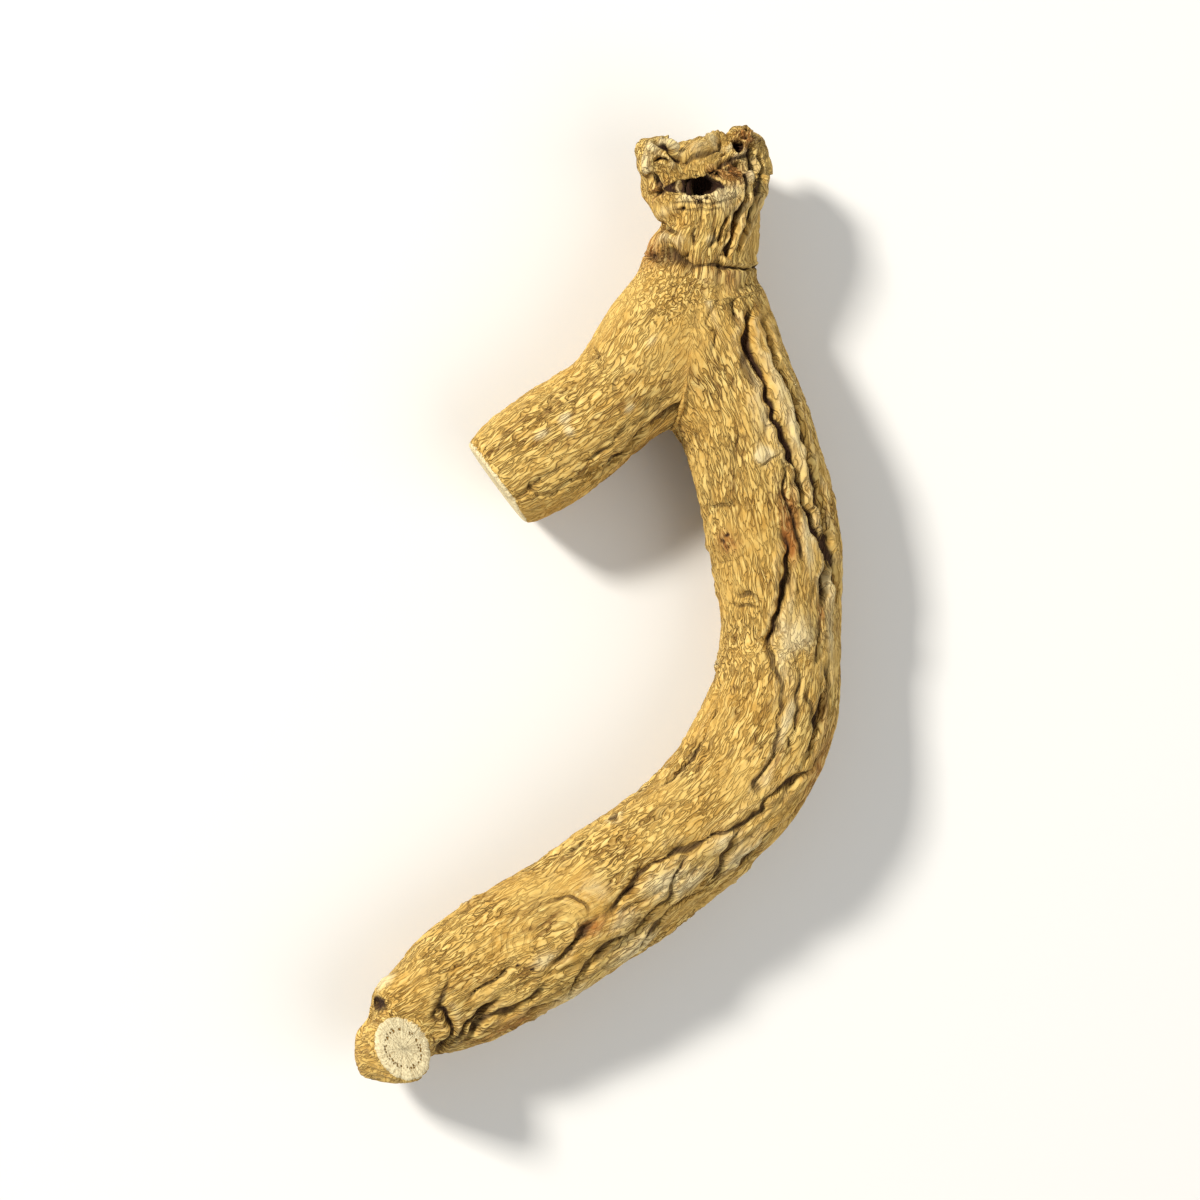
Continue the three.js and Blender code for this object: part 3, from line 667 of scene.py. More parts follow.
def cut_end(rim):
    """Pushes and shrinks of a knife-cut end: a small rounded rim and a face that is faintly hollow."""
    pushes = np.array([0.35, 0.75, 1.0, 0.85, 0.8]) * rim
    return np.stack([pushes, np.array([0.985, 0.94, 0.86, 0.6, 0.0])], axis=1)


def limb_skin(limb, sides, rings, start, end):
    """The closed skin of a limb. A ring's point is its centre, plus its push forwards, plus its shrink times
    (half height * cos(angle) * top + half width * sin(angle) * flank). The last ring of an end is a pole."""
    middle = np.stack([np.linspace(0, limb.length, rings), np.zeros(rings), np.ones(rings)], axis=1)
    head = np.insert(start * (-1, 1), 0, 0, axis=1)[::-1]
    tail = np.insert(end, 0, limb.length, axis=1)
    along, push, shrink = np.vstack([head, middle, tail]).T
    centre = limb.rows_at(limb.centre, along) + push[:, None] * limb.rows_at(limb.forward, along)
    girth = limb.rows_at(limb.girth, along) * shrink[:, None]
    angle = np.linspace(0, 2 * math.pi, sides, endpoint=False)
    rise = girth[:, 1, None, None] * np.cos(angle)[None, :, None] * limb.rows_at(limb.top, along)[:, None]
    side = girth[:, 0, None, None] * np.sin(angle)[None, :, None] * limb.rows_at(limb.flank, along)[:, None]
    grid = centre[:, None] + rise + side
    return closed_grid(grid)


def closed_grid(grid):
    """Vertices and faces of rings of points whose first and last rings are single points, facing out."""
    count, sides = grid.shape[:2]
    points = np.vstack([grid[0, :1], grid[1:-1].reshape(-1, 3), grid[-1, :1]])
    here = np.arange(sides)
    after = (here + 1) % sides
    ring = 1 + np.arange(count - 3)[:, None] * sides
    quads = np.stack([ring + here, ring + sides + here, ring + sides + after, ring + after], axis=-1)
    first = np.stack([np.zeros(sides, int), 1 + here, 1 + after], axis=1)
    base = 1 + (count - 3) * sides
    last = np.stack([base + here, np.full(sides, len(points) - 1), base + after], axis=1)
    return points, quads.reshape(-1, 4).tolist() + first.tolist() + last.tolist()


def lump(centre, half, lumpiness):
    """A lumpy ellipsoid: a ball's points times 1 + lumpiness * (cos(7x) + cos(6y) + cos(8z)), shifted by the
    centre so that no two are alike, then stretched to its half sizes."""
    down = np.linspace(0, math.pi, 25)[:, None]
    round_ = np.linspace(0, 2 * math.pi, 36, endpoint=False)[None, :]
    ball = np.stack(np.broadcast_arrays(
        np.sin(down) * np.cos(round_), np.sin(down) * np.sin(round_), np.cos(down)), axis=-1)
    x, y, z = (ball[..., k] * scale + centre[k] for k, scale in enumerate((7, 6, 8)))
    swell = np.cos(x) + np.cos(y) + np.cos(z)
    grid = ball * (1 + lumpiness * swell)[..., None] * half + centre
    return closed_grid(grid)


def joined(parts):
    """Several closed skins as one list of points and one list of faces."""
    points = np.vstack([part[0] for part in parts])
    faces = []
    start = 0
    for part_points, part_faces in parts:
        faces += [[start + corner for corner in face] for face in part_faces]
        start += len(part_points)
    return points, faces


def new_object(name, points, faces):
    """An object of this name in the scene, from points and faces."""
    mesh = bpy.data.meshes.new(name)
    mesh.from_pydata(points.tolist(), [], faces)
    mesh.update()
    piece = bpy.data.objects.new(name, mesh)
    bpy.context.scene.collection.objects.link(piece)
    return piece


def blended_skin(shape):
    """The limbs and knobs as one skin in mm: joined by a voxel remesh, with the old stems' hollows taken
    out, remeshed to even small faces and lightly smoothed."""
    limbs = [
        limb_skin(MAIN, 96, 240, rounded_end(0.5), rounded_end(2.6)),
        limb_skin(LEG, 72, 80, rounded_end(1.5), cut_end(0.6)),
        limb_skin(TIP, 48, 40, rounded_end(1.0), cut_end(0.3)),
    ]
    knobs = [lump(centre, half, KNOB_LUMP) for centre, half in CROWN_KNOBS]
    body = new_object("root_body", *joined(limbs + knobs))
    pits = [lump(centre, half, KNOB_LUMP) for centre, half, _ in HOLLOWS]
    hollows = new_object("root_hollows", *joined(pits))
    for crude, size in ((body, BODY_VOXEL), (hollows, HOLLOW_VOXEL)):
        first = crude.modifiers.new("join", "REMESH")
        first.mode = "VOXEL"
        first.voxel_size = size
    cut = body.modifiers.new("hollows", "BOOLEAN")
    cut.operation = "DIFFERENCE"
    cut.object = hollows
    cut.solver = "MANIFOLD"
    second = body.modifiers.new("even", "REMESH")
    second.mode = "VOXEL"
    second.voxel_size = shape.face_size / MM
    soften = body.modifiers.new("soften", "SMOOTH")
    soften.factor = 0.5
    soften.iterations = 4
    graph = bpy.context.evaluated_depsgraph_get()
    mesh = bpy.data.meshes.new_from_object(body.evaluated_get(graph), depsgraph=graph)
    for spare in (body, hollows):
        spare_mesh = spare.data
        bpy.data.objects.remove(spare)
        bpy.data.meshes.remove(spare_mesh)
    split_crown(mesh)
    return mesh


def split_crown(mesh):
    """Splits the faces of the crown's upper side in four, because its creases are the finest."""
    points = points_of(mesh)
    fine = (points[:, 1] > CROWN_FROM[0]) & (points[:, 2] > CROWN_FROM[1])
    ends = np.empty(len(mesh.edges) * 2, int)
    mesh.edges.foreach_get("vertices", ends)
    chosen = np.nonzero(fine[ends.reshape(-1, 2)].all(axis=1))[0]
    work = bmesh.new()
    work.from_mesh(mesh)
    work.edges.ensure_lookup_table()
    edges = [work.edges[i] for i in chosen.tolist()]
    bmesh.ops.subdivide_edges(work, edges=edges, cuts=1, use_grid_fill=True)
    work.to_mesh(mesh)
    work.free()


def kept_in_box(points):
    """Points whose last mm before the CAD part's box is squeezed, as 1 minus an exponential, so that none is
    outside it. The underside stays as it is."""
    low, high = (np.asarray(corner) / MM for corner in CAD_BOX)
    edge = high - BOX_EDGE - BOX_HAIR
    points = np.minimum(points, edge) + BOX_EDGE * (1 - np.exp(-np.maximum(points - edge, 0) / BOX_EDGE))
    edge = -low - BOX_EDGE - BOX_HAIR
    edge[2] = np.inf
    over = np.maximum(-points - edge, 0)
    return np.maximum(points, -edge) - BOX_EDGE * (1 - np.exp(-over / BOX_EDGE))


def points_of(mesh):
    """The mesh's vertices as rows of x, y and z."""
    flat = np.empty(len(mesh.vertices) * 3)
    mesh.vertices.foreach_get("co", flat)
    return flat.reshape(-1, 3)


def normals_of(mesh):
    """The direction out of the skin at each vertex, one row each."""
    flat = np.empty(len(mesh.vertices) * 3)
    mesh.vertex_normals.foreach_get("vector", flat)
    return flat.reshape(-1, 3)


def set_points(mesh, points):
    """Moves the mesh's vertices to these points."""
    mesh.vertices.foreach_set("co", points.ravel())
    mesh.update()


def stroke(spots, path, runout):
    """For each flat spot: mm to a path of straight stretches, positive on its left and negative on its
    right, and 1 along the path but 0 at its two ends."""
    nearest = np.full(len(spots), np.inf)
    run = np.zeros(len(spots))
    left = np.ones(len(spots))
    travelled = 0.0
    for start, end in zip(path[:-1], path[1:]):
        leg = end - start
        off = spots - start
        part = np.clip(off @ leg / (leg @ leg), 0, 1)
        apart = np.linalg.norm(off - part[:, None] * leg, axis=1)
        closer = apart < nearest
        nearest[closer] = apart[closer]
        run[closer] = (travelled + part * np.linalg.norm(leg))[closer]
        left[closer] = np.sign(leg[0] * off[:, 1] - leg[1] * off[:, 0])[closer]
        travelled += np.linalg.norm(leg)
    return left * nearest, smooth_step(run, 0, runout) * smooth_step(travelled - run, 0, runout)


def add_furrows(look, furrows, spots, points, radius, runout, sway, where):
    """Furrows with their painted shade and the painted highlight on their raised lips: bell curves of the
    distance to their paths laid out flat. The flat is mm along by mm round a limb of this radius, or a plan
    where the radius is 0. Waves through space make the paths sway by some mm and the furrows wider and
    narrower by turns. The seam is the distance to the furrow that shows most, in its own half widths; its
    zero line is drawn as painted shade in the furrow's core."""
    lip_at, lip_rise, lip_highlight = LIPS
    swell = np.clip(1 + 0.3 * space_waves(FURROW_SWELLS, points), 0.55, 1.35)
    spots = spots + sway * np.stack([space_waves(kind, points) for kind in FURROW_SWAYS], axis=1)
    for deep, wide, path in furrows:
        path = np.array(path, float)
        flat = spots
        if radius:
            path[:, 1] = np.radians(path[:, 1]) * radius
            middle = path[:, 1].mean()
            turned = wrapped((spots[:, 1] - middle) / radius) * radius + middle
            flat = np.stack([spots[:, 0], turned], axis=1)
        apart, ends = stroke(flat, path, runout)
        ends = ends * where
        apart = apart / (wide * swell)
        lip = ends * dip(np.abs(apart) - lip_at, 1)
        look.raised -= deep * (ends * dip(apart, 1) - lip_rise * lip)
        # Painted highlight on the furrow's raised lips.
        look.pale_and_lip_highlight = np.maximum(look.pale_and_lip_highlight, lip_highlight * deep * lip)
        # Painted shade down in the furrow.
        shade = ends * min(1.0, 0.4 + 0.55 * deep) * dip(apart, 0.8)
        look.painted_shade = np.maximum(look.painted_shade, 0.75 * shade)
        shown = shade > look.shade
        look.shade[shown] = shade[shown]
        look.seam[shown] = apart[shown]
        # Painted shade in the furrow's core.
        core = ends * min(1.0, 0.3 + 0.7 * deep) * (1 - smooth_step(np.abs(apart), *CORE_EDGE))
        look.core[shown] = core[shown]


def wrapped(angle):
    """The angle brought between minus and plus half a turn."""
    return (angle + math.pi) % (2 * math.pi) - math.pi


def mm_round(angle, degree, radius):
    """Mm round a limb of this radius, from the place this many degrees from its top."""
    return wrapped(angle - math.radians(degree)) * radius


def spotted(spots, along, angle, radius):
    """Soft spots of a limb added up. Each is its strength times a bell curve of the distance to its middle,
    measured in its own reaches along and round the limb."""
    return sum(
        strength * dip(np.hypot((along - at) / far, mm_round(angle, degree, radius) / broad), 1)
        for at, degree, far, broad, strength in spots
    )


def pit_rise(apart, deep, size):
    """How far a round pit and its low rim stand out: two bell curves of the distance to its middle."""
    return 0.3 * deep * dip(apart - 1.6 * size, 0.6 * size) - deep * dip(apart, size)


class Relief:
    """What a stretch of skin looks like: how far it stands out in mm; how much painted shade it has in its
    furrows, folds, pits and hollows; how pale it is, from real pale skin and from the painted highlight on
    furrow lips; how stained it is; and two signed patterns whose zero lines are its wrinkles and its finer
    crinkles. Then the furrow that shows most: how much, the distance to it in its own half widths, and how
    strong the painted shade in its core is. Last, where the whorl shows, and mm to its middle."""

    def __init__(self, count):
        self.raised = np.zeros(count)
        self.painted_shade = np.zeros(count)
        self.pale_and_lip_highlight = np.zeros(count)
        self.stain = np.zeros(count)
        self.wrinkle = np.zeros(count)
        self.crinkle = np.zeros(count)
        self.shade = np.zeros(count)
        self.seam = np.zeros(count)
        self.core = np.zeros(count)
        self.whorl = np.zeros(count)
        self.whorl_reach = np.zeros(count)


def limb_relief(points, place, radius, swelling, fold, furrows, starts, pace):
    """The skin of one limb: raised by its swelling times the sum of broad waves, less its fold depth where
    the fold waves cross their mean; the two wrinkle patterns, read at places that sway to and fro; and its
    named furrows. The waves start further along where the limb's starts say."""
    along, angle = place.along, place.angle
    thick = radius / RADII[0]
    look = Relief(len(along))
    sway = wave_sum(SWAYS, along, angle)
    lean = wave_sum(LEANS, along, angle)
    round_ = angle + (SWAY_ROUND * sway + LEAN_ROUND * lean) / radius
    forth = along + SWAY_ALONG * wave_sum(SWAYS, along + 20, angle)
    folds = dip(wave_sum(FOLDS, pace * along + starts[1], angle), FOLD_WIDTH)
    look.wrinkle = wave_sum(WRINKLES, forth + starts[2], round_, thick)
    look.crinkle = wave_sum(CRINKLES, forth + starts[2], round_, thick)
    flat = np.stack([along, angle * radius], axis=1)
    look.raised = swelling * wave_sum(SWELLINGS, pace * along + starts[0], angle) - fold * folds
    add_furrows(look, furrows, flat, points, radius, FURROW_RUNOUT, FURROW_SWAY, 1.0)
    # Painted shade in the soft folds.
    look.painted_shade = np.maximum(look.painted_shade, 0.3 * folds)
    return look


def add_bulges(look, along, angle):
    """Bulges with their pale skin, as bell curves of the distance to a bulge's middle in its own sizes. The
    crinkles run round each bulge in rings, and are faint on top of it."""
    spacing, at_ring, ring_wide = BULGE_RINGS
    for at, degree, rise, far, broad, paleness in BULGES:
        reach = np.hypot((along - at) / far, mm_round(angle, degree, RADII[0]) / broad)
        look.raised += rise * dip(reach, 1)
        look.pale_and_lip_highlight += paleness * dip(reach, 0.85)
        rings = 1.4 * np.cos(2 * math.pi * reach * broad / spacing)
        look.crinkle = mixed(look.crinkle, rings, dip(reach - at_ring, ring_wide))
        look.crinkle += 0.6 * dip(reach, 0.8)


def add_scars(look, along, angle):
    """Scars of lost rootlets, each a small pit in a low pale ring, and the named pits with low rims. The
    pits get painted shade.
    """
    seed, count, *ranges = SCARS
    rng = np.random.default_rng(seed)
    for at, degree, size in zip(*[rng.uniform(low, high, count) for low, high in ranges]):
        apart = np.hypot(along - at, 0.8 * mm_round(angle, degree, RADII[0]))
        look.raised += SCAR_RIM * dip(apart - size, 0.3) - SCAR_PIT * dip(apart, 0.6 * size)
        # Painted shade in the scar's pit.
        look.painted_shade = np.maximum(look.painted_shade, 0.7 * dip(apart, 0.5 * size))
        look.pale_and_lip_highlight += 0.5 * dip(apart - size, 0.3)
    for at, degree, deep, size in PITS:
        apart = np.hypot(along - at, mm_round(angle, degree, RADII[0]))
        look.raised += pit_rise(apart, deep, size)
        # Painted shade in the named pit.
        look.painted_shade = np.maximum(look.painted_shade, dip(apart, size))


def add_whorl(look, along, angle):
    """The whorl round an old scar: mm from its middle, and where its rings show, which is not across the
    furrow beside it. The skin swells there as a bell curve of that distance, less a small cosine for the
    rings."""
    at, degree, squeeze, first, last = WHORL
    across = mm_round(angle, degree, RADII[0])
    reach = np.hypot((along - at) * squeeze, across)
    open_side = 1 - smooth_step(across + 0.35 * (along - at), 0.2, 1.6)
    look.whorl_reach = reach
    ringed = smooth_step(reach, first - 0.5, first) * (1 - smooth_step(reach, last - 1.5, last))
    look.whorl = WHORL_CLEARNESS * ringed * open_side
    rise, wide = WHORL_SWELLING
    look.raised += rise * dip(reach, wide) * open_side
    look.raised -= WHORL_RING_HEIGHT * look.whorl * np.cos(2 * math.pi * reach / WHORL_SPACING)


def add_crown(look, along, points, normals):
    """The crown: crumpled every way by waves through space, pleated on its outer side as a sine of x and y,
    with the creases, pits, lumps and stains seen from above. Pits, lumps and stains are bell curves of the
    distance to their middles. Creases and pits get painted shade, and hollows get painted shade near their
    walls, apart from the fibres that cross one."""
    crown = 1 - smooth_step(along, *CRUMPLES_END)
    upper = smooth_step(normals[:, 2], *TURNED_UP) * (1 - smooth_step(along, *CREASES_END))
    look.wrinkle = mixed(look.wrinkle, space_waves(CRUMPLES, points), crown)
    look.crinkle = mixed(look.crinkle, 0.5 + space_waves(CREPES, points), crown)
    pleated = smooth_step(points[:, 0], *PLEATS_FROM_X) * upper * smooth_step(along, *PLEATS_FROM)
    pleats = 1.3 * np.sin(2 * math.pi * points[:, 0] / PLEAT_SPACING + 1.2 * points[:, 1] / PLEAT_SPACING)
    look.wrinkle = mixed(look.wrinkle, pleats + 0.25 * space_waves(CRUMPLES, points), pleated)
    plan = points[:, :2]
    add_furrows(look, CROWN_CREASES, plan, points, 0, CREASE_RUNOUT, CREASE_SWAY, upper)
    for x, y, deep, size in CROWN_PITS:
        apart = np.hypot(plan[:, 0] - x, plan[:, 1] - y)
        look.raised += upper * pit_rise(apart, deep, size)
        # Painted shade in the crown's pits.
        look.painted_shade = np.maximum(look.painted_shade, upper * dip(apart, size))
    for x, y, rise, size, paleness in CROWN_LUMPS:
        bump = upper * dip(np.hypot(plan[:, 0] - x, plan[:, 1] - y), size)
        look.raised += rise * bump
        look.pale_and_lip_highlight += paleness * bump
    for x, y, size, strength in CROWN_STAINS:
        look.stain += strength * upper * dip(np.hypot(plan[:, 0] - x, plan[:, 1] - y), size)
    # Painted shade near the walls of the hollows.
    slot = np.maximum.reduce([
        dip(np.linalg.norm((points - centre) / half, axis=1) - 0.8, 0.35) * shade
        for centre, half, shade in HOLLOWS
    ])
    fibre = sum(dip(points[:, 0] - x, wide) for x, wide in SLOT_FIBRES)
    fibre = fibre * slot * dip(points[:, 1] - SLOT_Y, 1.0)
    look.painted_shade = np.maximum(look.painted_shade, slot) * (1 - 0.8 * fibre)
    look.pale_and_lip_highlight += 0.8 * fibre


def limb_shares(places):
    """Each limb's share in the look of each point. It falls exponentially with how much further off the
    limb's skin is than the nearest limb's, and the shares add up to 1."""
    gaps = np.stack([place.gap for place in places])
    share = np.exp(-(gaps - gaps.min(axis=0)) / SHARE_FALL)
    return share / share.sum(axis=0)


def crotch_corner(main, leg):
    """1 in the crotch between the main root and the side leg, where both skins are near and face different
    ways, and 0 elsewhere: a product of S-shaped steps."""
    bend = 1 - (main.outward * leg.outward).sum(axis=1)
    near = smooth_step(np.minimum(main.gap, leg.gap), -1, 0)
    return near * smooth_step(bend, 0.1, 0.7) * smooth_step(leg.along, 2, 6)


def cut_faces(places, share):
    """1 on the cut faces of the side leg and the rootlet, past the limb's end and inside its rim."""
    return sum(
        share[k] * smooth_step(places[k].along, limb.length - 0.1, limb.length + 0.15)
        * smooth_step(places[k].reach, 0.97, 0.9)
        for k, limb in ((1, LEG), (2, TIP))
    )


def pressed_skin(along, angle):
    """1 where the root rests on the table, as bell curves along it and round it from its underside."""
    under = (math.pi - np.abs(angle)) * RADII[0]
    pressed = np.max([dip(along - spot, PRESSED_REACH[0]) for spot in REST_SPOTS], axis=0)
    return pressed * dip(under, PRESSED_REACH[1])


def blended_look(looks, share):
    """The limbs' looks added up by their shares. The two wrinkle patterns are divided by the root of the sum
    of the squared shares, so that they swing as far where limbs meet as elsewhere."""
    look = Relief(share.shape[1])
    for name in vars(look):
        setattr(look, name, sum(share[k] * getattr(looks[k], name) for k in range(len(looks))))
    evening = np.sqrt((share**2).sum(axis=0))
    look.wrinkle /= evening
    look.crinkle /= evening
    return look


class RootShape(bpy.types.PropertyGroup):
    """The skin's sizes that a user can change"""

    face_size: FloatProperty(
        name="Face size", description="Size of the skin's small even faces", default=0.294 * MM,
        min=0.1 * MM, max=2 * MM, unit="LENGTH", precision=5)
    wrinkle_depth: FloatProperty(
        name="Wrinkle depth", description="How deep the wrinkles are", default=0.26 * MM, min=0.0,
        max=2 * MM, unit="LENGTH", precision=5)
    crinkle_depth: FloatProperty(
        name="Crinkle depth", description="How deep the finer crinkles between the wrinkles are",
        default=0.2 * MM, min=0.0, max=1 * MM, unit="LENGTH", precision=5)


def linear(code):
    """A colour given as sRGB hex, such as D9B062, as linear red, green, blue and full alpha."""
    channels = [int(code[i:i + 2], 16) / 255 for i in (0, 2, 4)]
    straight = [c / 12.92 if c <= 0.04045 else ((c + 0.055) / 1.055) ** 2.4 for c in channels]
    return (*straight, 1.0)


def tint(name, description, code):
    """A colour that a user can change, with a default given as sRGB hex."""
    return FloatVectorProperty(
        name=name, description=description, subtype="COLOR", size=4, min=0, max=1, default=linear(code))


class RootColours(bpy.types.PropertyGroup):
    """The root's colours that a user can change"""

    light_skin: tint("Light skin", "Light golden yellow of the skin's lighter patches", "DDB866")
    skin: tint("Skin", "Golden tan of most of the skin", "C99A45")
    # Painted highlight on top of the fine ridges.
    crest_highlight: tint("Crest", "Light yellow on top of the fine ridges", "EFD484")
    # Real cream of the bulges, also used for the painted highlight on the furrows' lips.
    pale_and_lip_highlight: tint("Pale skin", "Cream of the bulges", "E8D29C")
    flesh: tint("Flesh", "Cream of the cut ends", "F4E3B4")
    # Painted shade between the fine ridges and in the whorl's rings; on the cut faces the real colour of the
    # rays, vessels and crumbs.
    valley: tint("Valley", "Olive brown between the fine ridges", "8F6A2A")
    stain: tint("Stain", "Reddish brown of the stained places", "A5652B")
    # Painted shade in the thin creases.
    crease: tint("Crease", "Brown of the thin creases", "653C10")
    # Painted shade deep in the furrows, folds, pits and hollows, and in the furrows' cores.
    furrow_shade: tint("Furrow", "Darkest brown, deep in the furrows and pits", "3C2412")


MAIN = Limb(MAIN_ROOT, UP)
LEG = Limb(SIDE_LEG, UP)
TIP = Limb(ROOTLET, ROOTLET_FLANK)
LIMBS = (MAIN, LEG, TIP)


def add_node(tree, kind, inputs=(), **properties):
    """Adds a node, sets its properties, and for each input, by name or number, links the socket or sets the
    value that is given. Returns its output sockets."""
    node = tree.nodes.new("ShaderNode" + kind)
    for name, value in properties.items():
        setattr(node, name, value)
    for name, value in dict(inputs).items():
        if isinstance(value, bpy.types.NodeSocket):
            tree.links.new(value, node.inputs[name])
        else:
            node.inputs[name].default_value = value
    return node.outputs


def dried_skin(colours):
    """Dried ginseng skin, shrunk to crinkles and never polished: dull, with a light yellow painted highlight
    on its fine ridges, cream where it bulges, and painted shade: olive between the ridges, brown in the
    creases and near black down in the furrows, pits and hollows. A cut end shows the cream fibrous flesh,
    with fine rays and a ring of darker vessels."""
    material = bpy.data.materials.new("dried_root_skin")
    material.use_nodes = True
    tree = material.node_tree
    tree.nodes.clear()
    layer = {name: add_node(tree, "Attribute", attribute_name=name)["Fac"] for name in LAYERS}
    main_flow = add_node(tree, "Attribute", attribute_name="main_flow")["Vector"]
    branch_flow = add_node(tree, "Attribute", attribute_name="branch_flow")["Vector"]
    place = add_node(tree, "TexCoord")["Object"]

    # Each spot reads its patterns along the limb that it is nearest to, with a ragged seam between the two.
    seam = add_node(tree, "TexNoise", {"Vector": place, "Scale": CELLS["seam"] / MM})[0]
    side = add_node(tree, "Math", {0: layer["branch"], 1: seam}, operation="ADD")[0]
    side = add_node(tree, "Math", {0: side, 1: 1.0}, operation="GREATER_THAN")[0]
    flow = add_node(tree, "Mix", {0: side, 4: main_flow, 5: branch_flow}, data_type="VECTOR")[1]

    # Fine ridges and longer threads, drawn out along the limb: two warped noises. The ridges' valleys are
    # thin lines where their noise is at its mean and get painted shade, and their crests get a painted
    # highlight in some places only.
    sway = add_node(tree, "TexNoise", {"Vector": flow, "Scale": CELLS["sway"] / MM, "Detail": 1.0})["Color"]
    warped = add_node(
        tree, "VectorMath", {0: sway, 1: (RIDGE_SWAY * MM,) * 3, 2: flow}, operation="MULTIPLY_ADD")[0]
    drawn = {}
    for name, squeeze, detail in (("ridge", RIDGE_SQUEEZE, 1.0), ("thread", THREAD_SQUEEZE, 2.0)):
        spot = add_node(tree, "VectorMath", {0: warped, 1: (1.0, 1.0, squeeze)}, operation="MULTIPLY")[0]
        noise = add_node(
            tree, "TexNoise",
            {"Vector": spot, "Scale": CELLS[name] / MM, "Detail": detail, "Roughness": 0.6})[0]
        drawn[name] = add_node(tree, "Math", {0: noise, 1: 0.5}, operation="SUBTRACT")[0]
    away = add_node(tree, "Math", {0: drawn["ridge"]}, operation="ABSOLUTE")[0]
    valley = add_node(
        tree, "MapRange", {0: away, 1: 0.0, 2: 0.08, 3: 1.0, 4: 0.0}, interpolation_type="SMOOTHSTEP")[0]
    crest_highlight = add_node(tree, "MapRange", {0: away, 1: 0.03, 2: 0.2}, interpolation_type="SMOOTHSTEP")[0]
    tone = add_node(tree, "TexNoise", {"Vector": warped, "Scale": CELLS["tone"] / MM, "Detail": 1.0})[0]
    tone = add_node(tree, "MapRange", {0: tone, 1: 0.3, 2: 0.65})[0]
    crest_highlight = add_node(tree, "Math", {0: crest_highlight, 1: tone}, operation="MULTIPLY")[0]
    grain = add_node(tree, "TexNoise", {"Vector": flow, "Scale": CELLS["grain"] / MM, "Detail": 2.0})[0]

    # Creases: sharp lines where the wrinkle and crinkle patterns and a longer noise cross their mean, drawn
    # as painted shade.
    patterns = {"wrinkle": layer["wrinkle"], "crinkle": layer["crinkle"], "thread": drawn["thread"]}
    crease = 0.0
    for name, wide, share in CREASE_LINES:
        size = add_node(tree, "Math", {0: patterns[name]}, operation="ABSOLUTE")[0]
        fall = add_node(tree, "Math", {0: size, 1: -1 / wide}, operation="MULTIPLY")[0]
        line = add_node(tree, "Math", {0: fall}, operation="EXPONENT")[0]
        part = add_node(tree, "Math", {0: line, 1: share}, operation="MULTIPLY")[0]
        if name == "wrinkle":
            part = add_node(tree, "Math", {0: part, 1: layer["broken"]}, operation="MULTIPLY")[0]
        crease = add_node(tree, "Math", {0: crease, 1: part}, operation="MAXIMUM")[0]

    # The whorl: rings round an old scar, drawn by the distance to its middle, with the valleys' painted
    # shade in them.
    wobble = add_node(tree, "TexNoise", {"Vector": place, "Scale": CELLS["wobble"] / MM, "Detail": 2.0})[0]
    turn = add_node(
        tree, "Math", {0: wobble, 1: WHORL_WOBBLE, 2: layer["whorl_reach"]}, operation="MULTIPLY_ADD")[0]
    turn = add_node(tree, "Math", {0: turn, 1: 2 * math.pi / WHORL_SPACING}, operation="MULTIPLY")[0]
    ring = add_node(tree, "Math", {0: turn}, operation="COSINE")[0]
    ring = add_node(tree, "MapRange", {0: ring, 1: 0.0, 2: 0.9}, interpolation_type="SMOOTHSTEP")[0]
    valley = add_node(tree, "Mix", {0: layer["whorl"], 2: valley, 3: ring})[0]
    low = {}
    for name, source in (("valley", valley), ("crease", crease), ("crest_highlight", crest_highlight)):
        low[name] = add_node(tree, "Math", {0: source, 1: layer["strength"]}, operation="MULTIPLY")[0]

    # Patches with a ragged edge: the stored share, pushed up and down by a noise and then made steep.
    rag = add_node(
        tree, "TexNoise", {"Vector": flow, "Scale": CELLS["rag"] / MM, "Detail": 3.0, "Roughness": 0.6})[0]
    ragged = {}
    for name, start, end in RAGGED_EDGES:
        pushed = add_node(tree, "Math", {0: rag, 1: 0.6, 2: layer[name]}, operation="MULTIPLY_ADD")[0]
        ragged[name] = add_node(
            tree, "MapRange", {0: pushed, 1: start, 2: end}, interpolation_type="SMOOTHSTEP")[0]

    # Painted shade in the core of a named furrow, with a ragged edge.
    seam = add_node(tree, "Math", {0: rag, 1: 0.9, 2: -0.45}, operation="MULTIPLY_ADD")[0]
    seam = add_node(tree, "Math", {0: seam, 1: layer["seam"]}, operation="ADD")[0]
    seam = add_node(tree, "Math", {0: seam}, operation="ABSOLUTE")[0]
    core = add_node(
        tree, "MapRange", {0: seam, 1: 0.4, 2: 0.9, 3: 1.0, 4: 0.0}, interpolation_type="SMOOTHSTEP")[0]
    core = add_node(tree, "Math", {0: core, 1: layer["core"]}, operation="MULTIPLY")[0]

